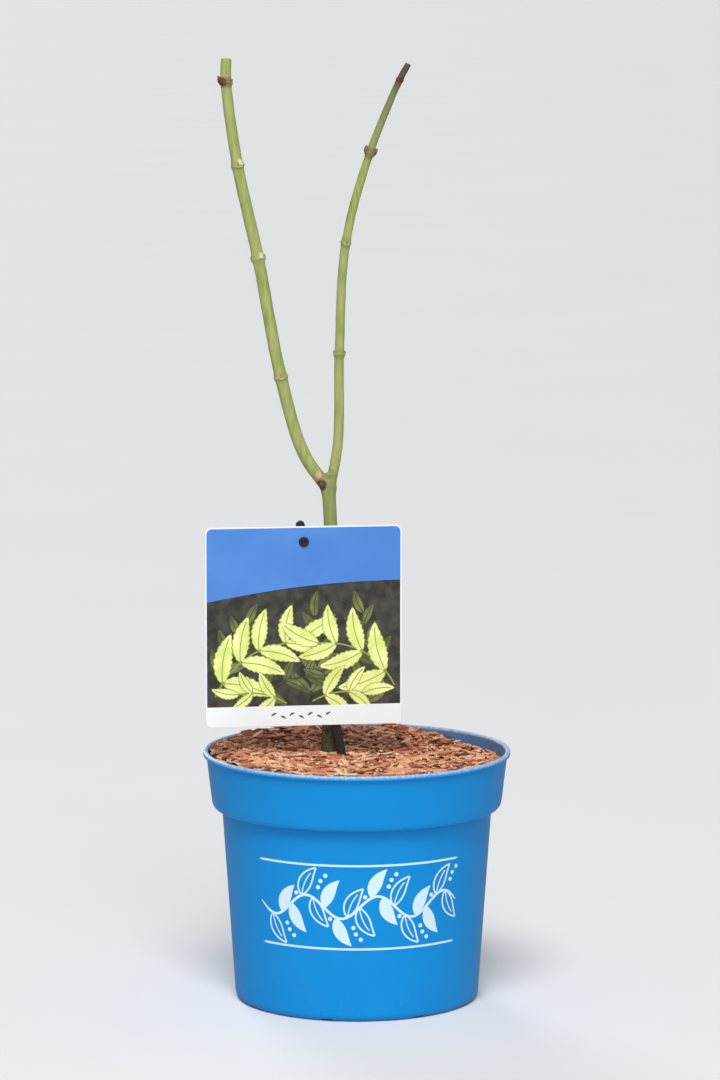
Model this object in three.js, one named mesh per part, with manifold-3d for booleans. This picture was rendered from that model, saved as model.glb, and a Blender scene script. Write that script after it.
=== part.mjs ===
// Young potted Japanese maple in winter: a thin-walled blue plastic pot, potting soil under a
// layer of bark chips, a bare grafted trunk that forks into two shoots, and a picture label
// hung on a black plastic stick.
//
// Millimetres, +Z up. The origin is the middle of the pot's underside, and the front is -Y.

import * as THREE from 'three';
import { mergeVertices } from 'three/addons/utils/BufferGeometryUtils.js';
import Module from 'manifold-3d';

// Pot: a standard 19 cm nursery pot
const POT_RADIUS = 95;
const POT_HEIGHT = 155;
const POT_WALL = 1.5;
const POT_SEGMENTS = 48;
const LIP_DEPTH = 3;
const LIP_HEIGHT = 2.8;
const COLLAR_TOP_RADIUS = 93.4;
const COLLAR_FOOT_RADIUS = 89.2;
const COLLAR_FOOT_Z = 120;
const COLLAR_ROUNDING = 4.5;
const COLLAR_FLARE = 0.6;
const BODY_TOP_RADIUS = 83.4;
const BODY_FOOT_RADIUS = 75.6;
const FOOT_ROUNDING = 5.5;
const RING_INNER_RADIUS = 57;
const PAD_RADIUS = 16;
const FLOOR_LIFT = 2.6;
const FLOOR_THICKNESS = 2;
const EDGE_ROUNDING = 0.9;
const SKIN_DIVISIONS = 3;
const LIP_DIVISIONS = 2;
const DRAIN_COUNT = 8;
const DRAIN_RADIUS = 4.5;
const DRAIN_CIRCLE = 45;
const CHANNEL_WIDTH = 7;
const CHANNEL_DEPTH = 1.4;
const CHANNEL_LENGTH = 30;

// Filling: soil, with bark chips on top
const GAP = 0.3;
const MULCH_FOOT_Z = 138;
const GROUND_Z = 152.2;
const LOWEST_EDGE_Z = 144.5;
const GROUND_TILT = -0.6;
const GROUND_DISH = 1.6;
const GROUND_REACH = 90;
const GROUND_FALL = 0.14;
const GROUND_FALL_X = 38;
const GROUND_BUMP = 0.4;
const GROUND_RINGS = 6;
const CHIP_COUNT = 56;
const CHIP_REACH = 80;
const CHIP_LENGTH = [8, 18];
const CHIP_WIDTH = [3, 6.5];
const CHIP_RISE = [0.8, 1.8];
const CHIP_DEPTH = 7;
const CHIP_TILT = 0.25;
const CHIP_SEED = 1931;
const GOLDEN_ANGLE = Math.PI * (3 - Math.sqrt(5));

// Trunk: from a flat cut at the ground to the fork
const TRUNK_FOOT = new THREE.Vector3(-16.6, 3, 151.2);
const TRUNK_MIDDLE = new THREE.Vector3(-15.4, 3.6, 225);
const TRUNK_UPPER = new THREE.Vector3(-15.6, 3.8, 290);
const TRUNK_TOP = new THREE.Vector3(-17.4, 4, 323.5);
const TRUNK_FOOT_RADIUS = 4.7;
const TRUNK_TOP_RADIUS = 4.1;
const ROOT_FLARE = 1.9;
const ROOT_FLARE_HEIGHT = 5;
const ROOT_LOBES = 5;
const ROOT_LOBE_SHARE = 0.35;
const GRAFT_Z = 208;
const GRAFT_SWELL = 0.2;
const GRAFT_LENGTH = 7;
const GRAFT_ONE_SIDED = 0.4;
const FORK_SWELL = 0.26;
const FORK_LENGTH = 5;
const CROWN_ROUNDING = 3.2;
const STUB_RADIUS = 2;
const STUB_HEIGHT = 3.4;
const STUB_LEAN = 0.3;
const STUB_OFFSET = [-0.6, -1.4];

// The two shoots: their foot, an elbow, each joint where leaves grew, and the tip
const LEFT_SHOOT = {
  foot: [-17.7, 4, 317.5],
  elbow: [-32.5, 4.3, 339.5],
  joints: [[-46.2, 5, 386.3], [-59.6, 8, 458.6], [-71.7, 11, 515.2], [-78.4, 13, 565.5]],
  tip: [-78.2, 13.5, 580],
  footRadius: 3.9,
  tipRadius: 3.2,
  firstPair: 'front',
};
const RIGHT_SHOOT = {
  foot: [-15.8, 4, 318],
  elbow: [-11.2, 3.4, 346],
  joints: [[-10.5, 2, 400.2], [-7, -2, 468.6], [7.1, -6, 522.9], [25, -9, 567.3]],
  tip: [30.1, -10, 577],
  footRadius: 3.2,
  tipRadius: 1.9,
  firstPair: 'side',
};
const JOINT_SWELL = 0.2;
const JOINT_LENGTH = 1.9;
const LIMB_SIDES = 10;
const STATION_STEP = 14;
const FRAME_STEPS = 240;
const BUD_LENGTH = 4.6;
const BUD_RADIUS = 1.5;
const BUD_LEAN = 0.42;
const BUD_SINK = 0.92;
const FULL_BUD_STEM_RADIUS = 3;

// Picture label and its stick
const CARD_WIDTH = 121.4;
const CARD_HEIGHT = 123.5;
const CARD_THICKNESS = 0.8;
const CARD_CORNER = 4;
const CARD_HOLE_RADIUS = 2.5;
const CARD_HOLE_DROP = 9.5;
const PEG = new THREE.Vector3(-34.3, -8, 286.4);
const PEG_RADIUS = 1.8;
const PEG_HEAD_RADIUS = 3.1;
const PEG_HEAD_THICKNESS = 1.2;
const STICK_WIDTH = 5.4;
const STICK_THICKNESS = 2.4;
const STICK_ABOVE_PEG = 13;
const STICK_BELOW_PEG = 190;
const STICK_POINT = 16;
const STICK_TIP_WIDTH = 1.6;
const STICK_LEAN = THREE.MathUtils.degToRad(10.1);
const STICK_RIB_WIDTH = 1.6;
const STICK_RIB_DEPTH = 1.4;

const wasm = await Module();
wasm.setup();

// A closed geometry as a solid that can be joined and cut
function solidFrom(geometry) {
  const bare = new THREE.BufferGeometry();
  bare.setAttribute('position', geometry.getAttribute('position').clone());
  bare.setIndex(geometry.index ? geometry.index.clone() : null);
  const merged = mergeVertices(bare, 1e-4);
  const corners = merged.index.array;
  const kept = [];
  for (let i = 0; i < corners.length; i += 3) {
    const [a, b, c] = [corners[i], corners[i + 1], corners[i + 2]];
    if (a !== b && b !== c && c !== a) kept.push(a, b, c);
  }
  return new wasm.Manifold(new wasm.Mesh({
    numProp: 3,
    vertProperties: new Float32Array(merged.getAttribute('position').array),
    triVerts: new Uint32Array(kept),
  }));
}

// The geometry of a joined or cut solid
function geometryFrom(solid) {
  const mesh = solid.getMesh();
  const geometry = new THREE.BufferGeometry();
  geometry.setAttribute('position', new THREE.BufferAttribute(mesh.vertProperties, 3));
  geometry.setIndex(new THREE.BufferAttribute(mesh.triVerts, 1));
  geometry.computeVertexNormals();
  return geometry;
}

// A profile of radius and height, turned round the upright axis
function turned(profile, segments = POT_SEGMENTS) {
  return new THREE.LatheGeometry(profile, segments).rotateX(Math.PI / 2);
}

// One skin of the pot from its foot to its lip: the outer one, or one that lies inset inside it
function potSkin(inset) {
  const rounding = FOOT_ROUNDING - Math.min(inset, FOOT_ROUNDING - 1);
  const footZ = inset === 0 ? 0 : FLOOR_LIFT + FLOOR_THICKNESS + (inset - POT_WALL);
  const footRadius = BODY_FOOT_RADIUS - inset;
  const stepZ = COLLAR_FOOT_Z + inset;
  const skin = new THREE.Path();
  skin.moveTo(footRadius - rounding, footZ);
  skin.quadraticCurveTo(footRadius, footZ, footRadius, footZ + rounding);
  skin.lineTo(BODY_TOP_RADIUS - inset, stepZ - EDGE_ROUNDING);
  skin.lineTo(BODY_TOP_RADIUS - inset + EDGE_ROUNDING, stepZ);
  skin.lineTo(COLLAR_FOOT_RADIUS - inset - COLLAR_ROUNDING / 2, stepZ);
  skin.quadraticCurveTo(
    COLLAR_FOOT_RADIUS - inset, stepZ,
    COLLAR_FOOT_RADIUS - inset + COLLAR_FLARE, stepZ + COLLAR_ROUNDING,
  );
  return skin.getPoints(SKIN_DIVISIONS);
}

function collarRadius(z) {
  const share = (z - COLLAR_FOOT_Z) / (POT_HEIGHT - COLLAR_FOOT_Z);
  return THREE.MathUtils.lerp(COLLAR_FOOT_RADIUS, COLLAR_TOP_RADIUS, share);
}

function makePot() {
  const lipZ = POT_HEIGHT - LIP_HEIGHT;
  const lipInner = POT_RADIUS - LIP_DEPTH;
  const underside = [
    new THREE.Vector2(0, 0),
    new THREE.Vector2(PAD_RADIUS, 0),
    new THREE.Vector2(PAD_RADIUS + 1, FLOOR_LIFT),
    new THREE.Vector2(RING_INNER_RADIUS - 1, FLOOR_LIFT),
    new THREE.Vector2(RING_INNER_RADIUS, 0),
  ];
  const lip = new THREE.Path();
  lip.moveTo(collarRadius(lipZ), lipZ - EDGE_ROUNDING / 2);
  lip.lineTo(POT_RADIUS - EDGE_ROUNDING / 2, lipZ);
  lip.quadraticCurveTo(POT_RADIUS, lipZ, POT_RADIUS, lipZ + EDGE_ROUNDING / 2);
  lip.lineTo(POT_RADIUS, POT_HEIGHT - EDGE_ROUNDING);
  lip.quadraticCurveTo(POT_RADIUS, POT_HEIGHT, POT_RADIUS - EDGE_ROUNDING, POT_HEIGHT);
  lip.lineTo(lipInner + EDGE_ROUNDING, POT_HEIGHT);
  lip.quadraticCurveTo(lipInner, POT_HEIGHT, lipInner, POT_HEIGHT - EDGE_ROUNDING);
  const profile = [
    ...underside,
    ...potSkin(0),
    ...lip.getPoints(LIP_DIVISIONS),
    ...potSkin(POT_WALL).reverse(),
    new THREE.Vector2(0, FLOOR_LIFT + FLOOR_THICKNESS),
  ];
  let pot = solidFrom(turned(profile));
  for (let i = 0; i < DRAIN_COUNT; i += 1) {
    const angle = (i + 0.5) * 2 * Math.PI / DRAIN_COUNT;
    const drain = new THREE.CylinderGeometry(DRAIN_RADIUS, DRAIN_RADIUS, 4 * FLOOR_LIFT, 10);
    drain.rotateX(Math.PI / 2);
    drain.translate(DRAIN_CIRCLE * Math.cos(angle), DRAIN_CIRCLE * Math.sin(angle), FLOOR_LIFT);
    const channel = new THREE.BoxGeometry(CHANNEL_LENGTH, CHANNEL_WIDTH, 2 * CHANNEL_DEPTH);
    channel.translate(RING_INNER_RADIUS + CHANNEL_LENGTH / 2 - 3, 0, 0);
    channel.rotateZ(angle);
    pot = pot.subtract(solidFrom(drain)).subtract(solidFrom(channel));
  }
  return pot;
}

// Height of the chip layer: nearly flush with the lip, and falling away at the right, with low bumps
function groundHeight(x, y) {
  const dish = GROUND_DISH * (Math.hypot(x, y) / GROUND_REACH) ** 2;
  const fall = GROUND_FALL * Math.max(0, x - GROUND_FALL_X);
  const bumps = GROUND_BUMP * (Math.sin(x / 6.1 + y / 9.7) + Math.cos(y / 5.3 - x / 11.9));
  return GROUND_Z + dish + GROUND_TILT * x / GROUND_REACH - fall + bumps;
}

// Soil and mulch share the pot's inner skin, a gap inside it
function makeSoil() {
  const wall = potSkin(POT_WALL + GAP).filter((point) => point.y < MULCH_FOOT_Z);
  const profile = [
    new THREE.Vector2(0, FLOOR_LIFT + FLOOR_THICKNESS + GAP),
    ...wall,
    new THREE.Vector2(collarRadius(MULCH_FOOT_Z) - POT_WALL - GAP, MULCH_FOOT_Z),
    new THREE.Vector2(0, MULCH_FOOT_Z),
  ];
  return solidFrom(turned(profile));
}

function seededRandom(seed) {
  let state = seed;
  return () => {
    state = (state * 48271) % 2147483647;
    return state / 2147483647;
  };
}

function makeMulch() {
  const footZ = MULCH_FOOT_Z + GAP;
  const edgeFoot = collarRadius(footZ) - POT_WALL - GAP;
  const edgeTop = collarRadius(LOWEST_EDGE_Z) - POT_WALL - GAP;
  const profile = [new THREE.Vector2(0, footZ), new THREE.Vector2(edgeFoot, footZ)];
  for (let i = GROUND_RINGS; i >= 0; i -= 1) {
    profile.push(new THREE.Vector2(edgeTop * i / GROUND_RINGS, GROUND_Z));
  }
  const layer = turned(profile);
  const position = layer.getAttribute('position');
  for (let i = 0; i < position.count; i += 1) {
    const isTop = position.getZ(i) > (footZ + GROUND_Z) / 2;
    if (isTop) position.setZ(i, groundHeight(position.getX(i), position.getY(i)));
  }
  let mulch = solidFrom(layer);
  const random = seededRandom(CHIP_SEED);
  const between = ([low, high]) => THREE.MathUtils.lerp(low, high, random());
  for (let i = 0; i < CHIP_COUNT; i += 1) {
    const radius = CHIP_REACH * Math.sqrt((i + 0.5) / CHIP_COUNT);
    const bearing = i * GOLDEN_ANGLE;
    const x = radius * Math.cos(bearing);
    const y = radius * Math.sin(bearing);
    const chip = new THREE.BoxGeometry(between(CHIP_LENGTH), between(CHIP_WIDTH), CHIP_DEPTH);
    chip.rotateX(between([-CHIP_TILT, CHIP_TILT]));
    chip.rotateY(between([-CHIP_TILT, CHIP_TILT]) / 2);
    chip.rotateZ(between([0, Math.PI]));
    chip.translate(x, y, groundHeight(x, y) + between(CHIP_RISE) - CHIP_DEPTH / 2);
    mulch = mulch.add(solidFrom(chip));
  }
  return mulch;
}

// Distance along a centreline to each of the points that it was drawn through
function distancesAlong(curve) {
  const divisions = 60;
  const lengths = curve.getLengths((curve.points.length - 1) * divisions);
  return curve.points.map((point, index) => lengths[index * divisions]);
}

function interpolate(at, marks, values) {
  let i = 0;
  while (i < marks.length - 2 && at > marks[i + 1]) i += 1;
  const share = (at - marks[i]) / (marks[i + 1] - marks[i]);
  return THREE.MathUtils.lerp(values[i], values[i + 1], share);
}

function swelling(distance, length) {
  return Math.exp(-((distance / length) ** 2));
}

// Where a limb's rings stand: close together at each marked place, and far apart between them
function ringStations(length, marks, reach) {
  const stations = [0];
  for (const mark of [...marks, length]) {
    const start = stations[stations.length - 1];
    const near = mark === length ? length : mark - reach;
    const steps = Math.max(1, Math.round((near - start) / STATION_STEP));
    for (let i = 1; i <= steps; i += 1) stations.push(start + (near - start) * i / steps);
    if (mark !== length) {
      for (const share of [-0.45, 0, 0.45, 1]) stations.push(mark + share * reach);
    }
  }
  return stations;
}

// A limb is turned as a straight spindle of radius 1, given its radius at each place, and then
// bent to its centreline.
function limb(curve, radiusAt, stations) {
  const length = curve.getLength();
  const profile = [new THREE.Vector2(0, 0)];
  for (const station of stations) profile.push(new THREE.Vector2(1, Math.min(station, length)));
  profile.push(new THREE.Vector2(0, length));
  const geometry = new THREE.LatheGeometry(profile, LIMB_SIDES);
  const frames = curve.computeFrenetFrames(FRAME_STEPS, false);
  const position = geometry.getAttribute('position');
  const vertex = new THREE.Vector3();
  for (let i = 0; i < position.count; i += 1) {
    vertex.fromBufferAttribute(position, i);
    const along = vertex.y;
    const angle = Math.atan2(vertex.z, vertex.x);
    const radius = Math.hypot(vertex.x, vertex.z) * radiusAt(along, angle);
    const frame = Math.round(FRAME_STEPS * along / length);
    const point = curve.getPointAt(Math.min(along / length, 1));
    point.addScaledVector(frames.normals[frame], radius * Math.cos(angle));
    point.addScaledVector(frames.binormals[frame], -radius * Math.sin(angle));
    position.setXYZ(i, point.x, point.y, point.z);
  }
  return geometry;
}

// The trunk, or with extra a slightly stouter one that cuts what stands round it
function makeTrunk(extra = 0) {
  const start = TRUNK_FOOT.clone().setZ(TRUNK_FOOT.z - ROOT_FLARE_HEIGHT);
  const curve = new THREE.CatmullRomCurve3([start, TRUNK_FOOT, TRUNK_MIDDLE, TRUNK_UPPER, TRUNK_TOP]);
  const length = curve.getLength();
  const [, footAt] = distancesAlong(curve);
  const graftAt = footAt + GRAFT_Z - TRUNK_FOOT.z;
  const forkAt = length - FORK_LENGTH * 0.9;
  const radiusAt = (along, angle) => {
    const height = along - footAt;
    const taper = THREE.MathUtils.lerp(TRUNK_FOOT_RADIUS, TRUNK_TOP_RADIUS, Math.max(height, 0) / length);
    const lobes = 1 + ROOT_LOBE_SHARE * Math.cos(ROOT_LOBES * angle);
    const flare = ROOT_FLARE * lobes * Math.exp(-Math.max(height, 0) / ROOT_FLARE_HEIGHT);
    const graftSide = 1 + GRAFT_ONE_SIDED * Math.cos(angle);
    const graft = GRAFT_SWELL * swelling(along - graftAt, GRAFT_LENGTH) * graftSide;
    const fork = FORK_SWELL * swelling(along - forkAt, FORK_LENGTH);
    const crownShare = Math.max(0, 1 + (along - length) / CROWN_ROUNDING);
    const crown = Math.sqrt(Math.max(0, 1 - (0.95 * crownShare) ** 2));
    return taper * (1 + graft + fork) * crown + flare + extra;
  };
  const stations = [0, 1, 1.4, 2, 3].map((share) => footAt * share);
  for (const share of [-1.6, -0.8, 0, 0.8, 1.6]) stations.push(graftAt + share * GRAFT_LENGTH);
  stations.push((graftAt + length) / 2);
  for (const share of [7, 3.4, 2.5, 1.7, 1, 0.5, 0.15]) stations.push(length - share * CROWN_ROUNDING);
  let trunk = solidFrom(limb(curve, radiusAt, stations));
  const stub = new THREE.CylinderGeometry(STUB_RADIUS + extra, STUB_RADIUS + extra, 2 * STUB_HEIGHT, 8);
  stub.rotateX(Math.PI / 2);
  stub.rotateY(STUB_LEAN);
  stub.translate(TRUNK_TOP.x + STUB_OFFSET[0], TRUNK_TOP.y + STUB_OFFSET[1], TRUNK_TOP.z);
  trunk = trunk.add(solidFrom(stub));
  const cut = 60;
  const ground = new THREE.BoxGeometry(cut, cut, cut);
  ground.translate(TRUNK_FOOT.x, TRUNK_FOOT.y, TRUNK_FOOT.z - extra - cut / 2);
  return trunk.subtract(solidFrom(ground));
}

// A shoot with a swollen ring and two opposite buds at each joint, each pair across the last one
function makeShoot(shoot, extra = 0) {
  const points = [shoot.foot, shoot.elbow, ...shoot.joints, shoot.tip];
  const curve = new THREE.CatmullRomCurve3(points.map((point) => new THREE.Vector3(...point)));
  const length = curve.getLength();
  const joints = distancesAlong(curve).slice(2, -1);
  const radiusAt = (along) => {
    const taper = interpolate(along, [0, length * 0.7, length], [
      shoot.footRadius,
      THREE.MathUtils.lerp(shoot.footRadius, shoot.tipRadius, 0.45),
      shoot.tipRadius,
    ]);
    let swell = 0;
    for (const joint of joints) swell += JOINT_SWELL * swelling(along - joint, JOINT_LENGTH);
    return taper * (1 + swell) + extra;
  };
  const stations = ringStations(length, joints, 2 * JOINT_LENGTH);
  let solid = solidFrom(limb(curve, radiusAt, stations));
  joints.forEach((joint, index) => {
    const point = curve.getPointAt(joint / length);
    const tangent = curve.getTangentAt(joint / length);
    const facesFront = (index % 2 === 0) === (shoot.firstPair === 'front');
    const across = facesFront ? new THREE.Vector3(0, 1, 0) : new THREE.Vector3(1, 0, 0);
    across.addScaledVector(tangent, -across.dot(tangent)).normalize();
    for (const side of [-1, 1]) {
      const size = Math.min(1, radiusAt(joint) / FULL_BUD_STEM_RADIUS);
      const outward = across.clone().multiplyScalar(side);
      const axis = tangent.clone().addScaledVector(outward, BUD_LEAN).normalize();
      const bud = new THREE.SphereGeometry(1, 8, 6);
      bud.scale(BUD_RADIUS * size, BUD_LENGTH * size / 2, BUD_RADIUS * size);
      bud.applyQuaternion(new THREE.Quaternion().setFromUnitVectors(new THREE.Vector3(0, 1, 0), axis));
      const seat = point.clone().addScaledVector(outward, radiusAt(joint) * BUD_SINK);
      seat.addScaledVector(tangent, BUD_LENGTH * size / 3);
      bud.translate(seat.x, seat.y, seat.z);
      solid = solid.add(solidFrom(bud));
    }
  });
  return solid;
}

function makeCard() {
  const top = CARD_HOLE_DROP;
  const bottom = top - CARD_HEIGHT;
  const side = CARD_WIDTH / 2;
  const outline = new THREE.Shape();
  outline.moveTo(-side + CARD_CORNER, bottom);
  outline.lineTo(side - CARD_CORNER, bottom);
  outline.absarc(side - CARD_CORNER, bottom + CARD_CORNER, CARD_CORNER, -Math.PI / 2, 0, false);
  outline.absarc(side - CARD_CORNER, top - CARD_CORNER, CARD_CORNER, 0, Math.PI / 2, false);
  outline.absarc(-side + CARD_CORNER, top - CARD_CORNER, CARD_CORNER, Math.PI / 2, Math.PI, false);
  outline.absarc(-side + CARD_CORNER, bottom + CARD_CORNER, CARD_CORNER, Math.PI, 1.5 * Math.PI, false);
  const hole = new THREE.Path();
  hole.absarc(0, 0, CARD_HOLE_RADIUS, 0, 2 * Math.PI, true);
  outline.holes.push(hole);
  const card = new THREE.ExtrudeGeometry(outline, {
    depth: CARD_THICKNESS,
    bevelEnabled: false,
    curveSegments: 8,
  });
  return solidFrom(card.rotateX(Math.PI / 2));
}

// The stick stands behind the card, with a rib down its back and a headed peg through the hole
function makeStick(extra = 0) {
  const half = STICK_WIDTH / 2 + extra;
  const halfTip = STICK_TIP_WIDTH / 2 + extra;
  const outline = new THREE.Shape();
  outline.moveTo(-half, -STICK_BELOW_PEG + STICK_POINT);
  outline.lineTo(-halfTip, -STICK_BELOW_PEG - extra);
  outline.lineTo(halfTip, -STICK_BELOW_PEG - extra);
  outline.lineTo(half, -STICK_BELOW_PEG + STICK_POINT);
  outline.lineTo(half, STICK_ABOVE_PEG - half);
  outline.absarc(0, STICK_ABOVE_PEG - half, half, 0, Math.PI, false);
  const bar = new THREE.ExtrudeGeometry(outline, {
    depth: STICK_THICKNESS + 2 * extra,
    bevelEnabled: false,
    curveSegments: 8,
  });
  bar.rotateX(Math.PI / 2);
  bar.translate(0, STICK_THICKNESS / 2 + extra, 0);
  const ribDepth = STICK_RIB_DEPTH + STICK_THICKNESS / 2 + extra;
  const ribLength = STICK_BELOW_PEG - STICK_POINT + extra;
  const rib = new THREE.BoxGeometry(STICK_RIB_WIDTH + 2 * extra, ribDepth, ribLength);
  rib.translate(0, ribDepth / 2, -ribLength / 2);
  const frontY = -STICK_THICKNESS / 2;
  const pegLength = CARD_THICKNESS + 2 * GAP + PEG_HEAD_THICKNESS;
  const peg = new THREE.CylinderGeometry(PEG_RADIUS, PEG_RADIUS, pegLength + STICK_THICKNESS / 2, 16);
  peg.translate(0, (frontY - pegLength) / 2, 0);
  const head = new THREE.CylinderGeometry(PEG_HEAD_RADIUS, PEG_HEAD_RADIUS, PEG_HEAD_THICKNESS, 16);
  head.translate(0, frontY - pegLength + PEG_HEAD_THICKNESS / 2, 0);
  const stick = solidFrom(bar).add(solidFrom(rib)).add(solidFrom(peg)).add(solidFrom(head));
  const geometry = geometryFrom(stick);
  geometry.rotateY(-STICK_LEAN);
  geometry.translate(PEG.x, PEG.y, PEG.z);
  return solidFrom(geometry);
}

const POT_BLUE = new THREE.MeshStandardMaterial({ color: '#1f86dc', roughness: 0.42 });
const SOIL_BROWN = new THREE.MeshStandardMaterial({ color: '#2c211a', roughness: 0.95 });
const BARK_CHIP_RED = new THREE.MeshStandardMaterial({ color: '#a5643f', roughness: 0.9 });
const TRUNK_BARK = new THREE.MeshStandardMaterial({ color: '#6d7440', roughness: 0.7 });
const SHOOT_GREEN = new THREE.MeshStandardMaterial({ color: '#a3b061', roughness: 0.55 });
const CARD_WHITE = new THREE.MeshStandardMaterial({ color: '#f2f4f4', roughness: 0.4 });
const STICK_BLACK = new THREE.MeshStandardMaterial({ color: '#15181a', roughness: 0.5 });

const plant = new THREE.Group();

function addPiece(name, geometry, material) {
  const piece = new THREE.Mesh(geometry, material);
  piece.name = name;
  plant.add(piece);
  return piece;
}

const trunkClearance = makeTrunk(GAP);
const stickClearance = makeStick(GAP);
const rightShootClearance = makeShoot(RIGHT_SHOOT, GAP);

addPiece('pot', geometryFrom(makePot()), POT_BLUE);
addPiece('potting_soil', geometryFrom(makeSoil().subtract(stickClearance)), SOIL_BROWN);
addPiece(
  'bark_mulch',
  geometryFrom(makeMulch().subtract(trunkClearance).subtract(stickClearance)),
  BARK_CHIP_RED,
);
addPiece('trunk', geometryFrom(makeTrunk()), TRUNK_BARK);
addPiece(
  'left_shoot',
  geometryFrom(makeShoot(LEFT_SHOOT).subtract(trunkClearance).subtract(rightShootClearance)),
  SHOOT_GREEN,
);
addPiece('right_shoot', geometryFrom(makeShoot(RIGHT_SHOOT).subtract(trunkClearance)), SHOOT_GREEN);
const card = addPiece('label_card', geometryFrom(makeCard()), CARD_WHITE);
card.position.set(PEG.x, PEG.y - STICK_THICKNESS / 2 - GAP, PEG.z);
addPiece('label_stick', geometryFrom(makeStick()), STICK_BLACK);

export default plant;
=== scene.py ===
# A young potted Japanese maple in winter: a blue nursery pot with a printed band, potting soil, bark
# chips, a grafted trunk with two bare green shoots, and a picture label on a black plastic stick.
#
# Metres, +Z up. The origin is the middle of the pot's underside, and the front is -Y. TRUNK_FOOT and the
# lists of points, berries, shreds, spots and sprigs are in millimetres. A tone is an sRGB colour of 0
# to 255.

import math

import bpy
import numpy as np
from mathutils import Matrix, Vector, kdtree, noise


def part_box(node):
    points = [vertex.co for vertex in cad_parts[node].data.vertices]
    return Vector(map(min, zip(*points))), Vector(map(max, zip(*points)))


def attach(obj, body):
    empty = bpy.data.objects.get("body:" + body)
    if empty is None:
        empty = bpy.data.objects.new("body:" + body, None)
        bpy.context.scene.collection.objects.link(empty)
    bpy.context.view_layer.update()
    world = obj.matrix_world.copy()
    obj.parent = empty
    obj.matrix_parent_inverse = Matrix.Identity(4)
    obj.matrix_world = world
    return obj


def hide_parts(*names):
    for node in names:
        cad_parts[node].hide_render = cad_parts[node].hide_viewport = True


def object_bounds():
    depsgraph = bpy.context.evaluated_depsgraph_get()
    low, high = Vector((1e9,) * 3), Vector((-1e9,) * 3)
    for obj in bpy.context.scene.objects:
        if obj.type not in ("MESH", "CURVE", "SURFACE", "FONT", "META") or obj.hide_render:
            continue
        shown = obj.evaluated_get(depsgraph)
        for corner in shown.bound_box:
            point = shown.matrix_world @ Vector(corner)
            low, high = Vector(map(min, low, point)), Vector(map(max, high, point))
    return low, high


MM = 0.001

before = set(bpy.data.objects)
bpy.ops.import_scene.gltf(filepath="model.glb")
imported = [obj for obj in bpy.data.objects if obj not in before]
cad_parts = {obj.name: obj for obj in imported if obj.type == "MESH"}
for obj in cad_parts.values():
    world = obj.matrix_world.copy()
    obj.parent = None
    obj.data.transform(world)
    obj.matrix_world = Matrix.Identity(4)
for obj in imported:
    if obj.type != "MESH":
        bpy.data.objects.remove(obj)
cad_low, cad_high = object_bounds()

# The camera
# It stands where the photo was taken from: 2.8 m in front of the pot, a little to its left and above
# the plant. A long lens fills the upright picture with the plant.

CAMERA_PLACE = (-0.394, -2.752, 0.654)
CAMERA_TARGET = (0.002, 0, 0.492 * cad_high.z)
CAMERA_LENS = 152


def shown(name, data):
    """A new object in the scene that shows data."""
    made = bpy.data.objects.new(name, data)
    bpy.context.scene.collection.objects.link(made)
    return made


def aim(thing, place, target):
    """Stands a camera or a light at a place and turns it to a target."""
    thing.location = place
    thing.rotation_euler = (Vector(target) - Vector(place)).to_track_quat("-Z", "Y").to_euler()


camera = shown("camera", bpy.data.cameras.new("camera"))
camera.data.lens = CAMERA_LENS
aim(camera, CAMERA_PLACE, CAMERA_TARGET)
bpy.context.scene.camera = camera

# The pot
# A round 19 cm nursery pot, injection moulded in one piece from blue polypropylene: a thin wall with a
# deep collar under a rounded lip, and a base with a standing ring, ribs, drain holes and drain channels.

POT_RADIUS, _, POT_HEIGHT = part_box("pot")[1]
POT_WALL = 1.5 * MM
LIP_DEPTH = 3 * MM
LIP_HEIGHT = 2.8 * MM
LIP_ROUNDING = 1.3 * MM
COLLAR_TOP_RADIUS = 93.4 * MM
COLLAR_FOOT_RADIUS = 89.2 * MM
COLLAR_FOOT_Z = 120 * MM
COLLAR_ROUNDING = 4.5 * MM
COLLAR_FLARE = 0.6 * MM
BODY_TOP_RADIUS = 83.4 * MM
BODY_FOOT_RADIUS = 75.6 * MM
FOOT_ROUNDING = 5.5 * MM
RING_INNER_RADIUS = 57 * MM
PAD_RADIUS = 16 * MM
GATE_RADIUS = 2.2 * MM
GATE_DEPTH = 0.6 * MM
FLOOR_LIFT = 2.6 * MM
FLOOR_TOP = FLOOR_LIFT + 2 * MM
EDGE_ROUNDING = 0.9 * MM
POT_SEGMENTS = 192
POT_CREASE = 30
BEND_STEPS = 7
DRAIN_COUNT = 8
DRAIN_RADIUS = 4.5 * MM
DRAIN_SIDES = 31
DRAIN_CIRCLE = 45 * MM
CHANNEL_SIZE = (30 * MM, 7 * MM, 2.8 * MM)
CHANNEL_INSET = 3 * MM
RIB_WIDTH = 1.4 * MM
PARTING_WIDTH = 0.7 * MM
PARTING_HEIGHT = 0.16 * MM
PARTING_SINK = 0.6 * MM
DUST_TOP = 60 * MM
# The inner wall's soil film, which also paints shade there, fades in between these heights.
SHADED_FILM_FOOT, SHADED_FILM_TOP = 134 * MM, 138 * MM
MIX_FIRST, MIX_SECOND, MIX_COLOUR = 6, 7, 2


def paint(red, green, blue, gain=1):
    """A tone, lightened by gain, as the linear colour that a shader takes."""
    linear = (((c / 255 + 0.055) / 1.055) ** 2.4 * gain for c in (red, green, blue))
    return (*(min(1, c) for c in linear), 1)


def feed(tree, node, values):
    """Sets sockets of a node, and links those whose value is a Shade."""
    for name, value in values.items():
        if isinstance(value, Shade):
            tree.links.new(value.socket, node.inputs[name])
        else:
            node.inputs[name].default_value = value


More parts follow.
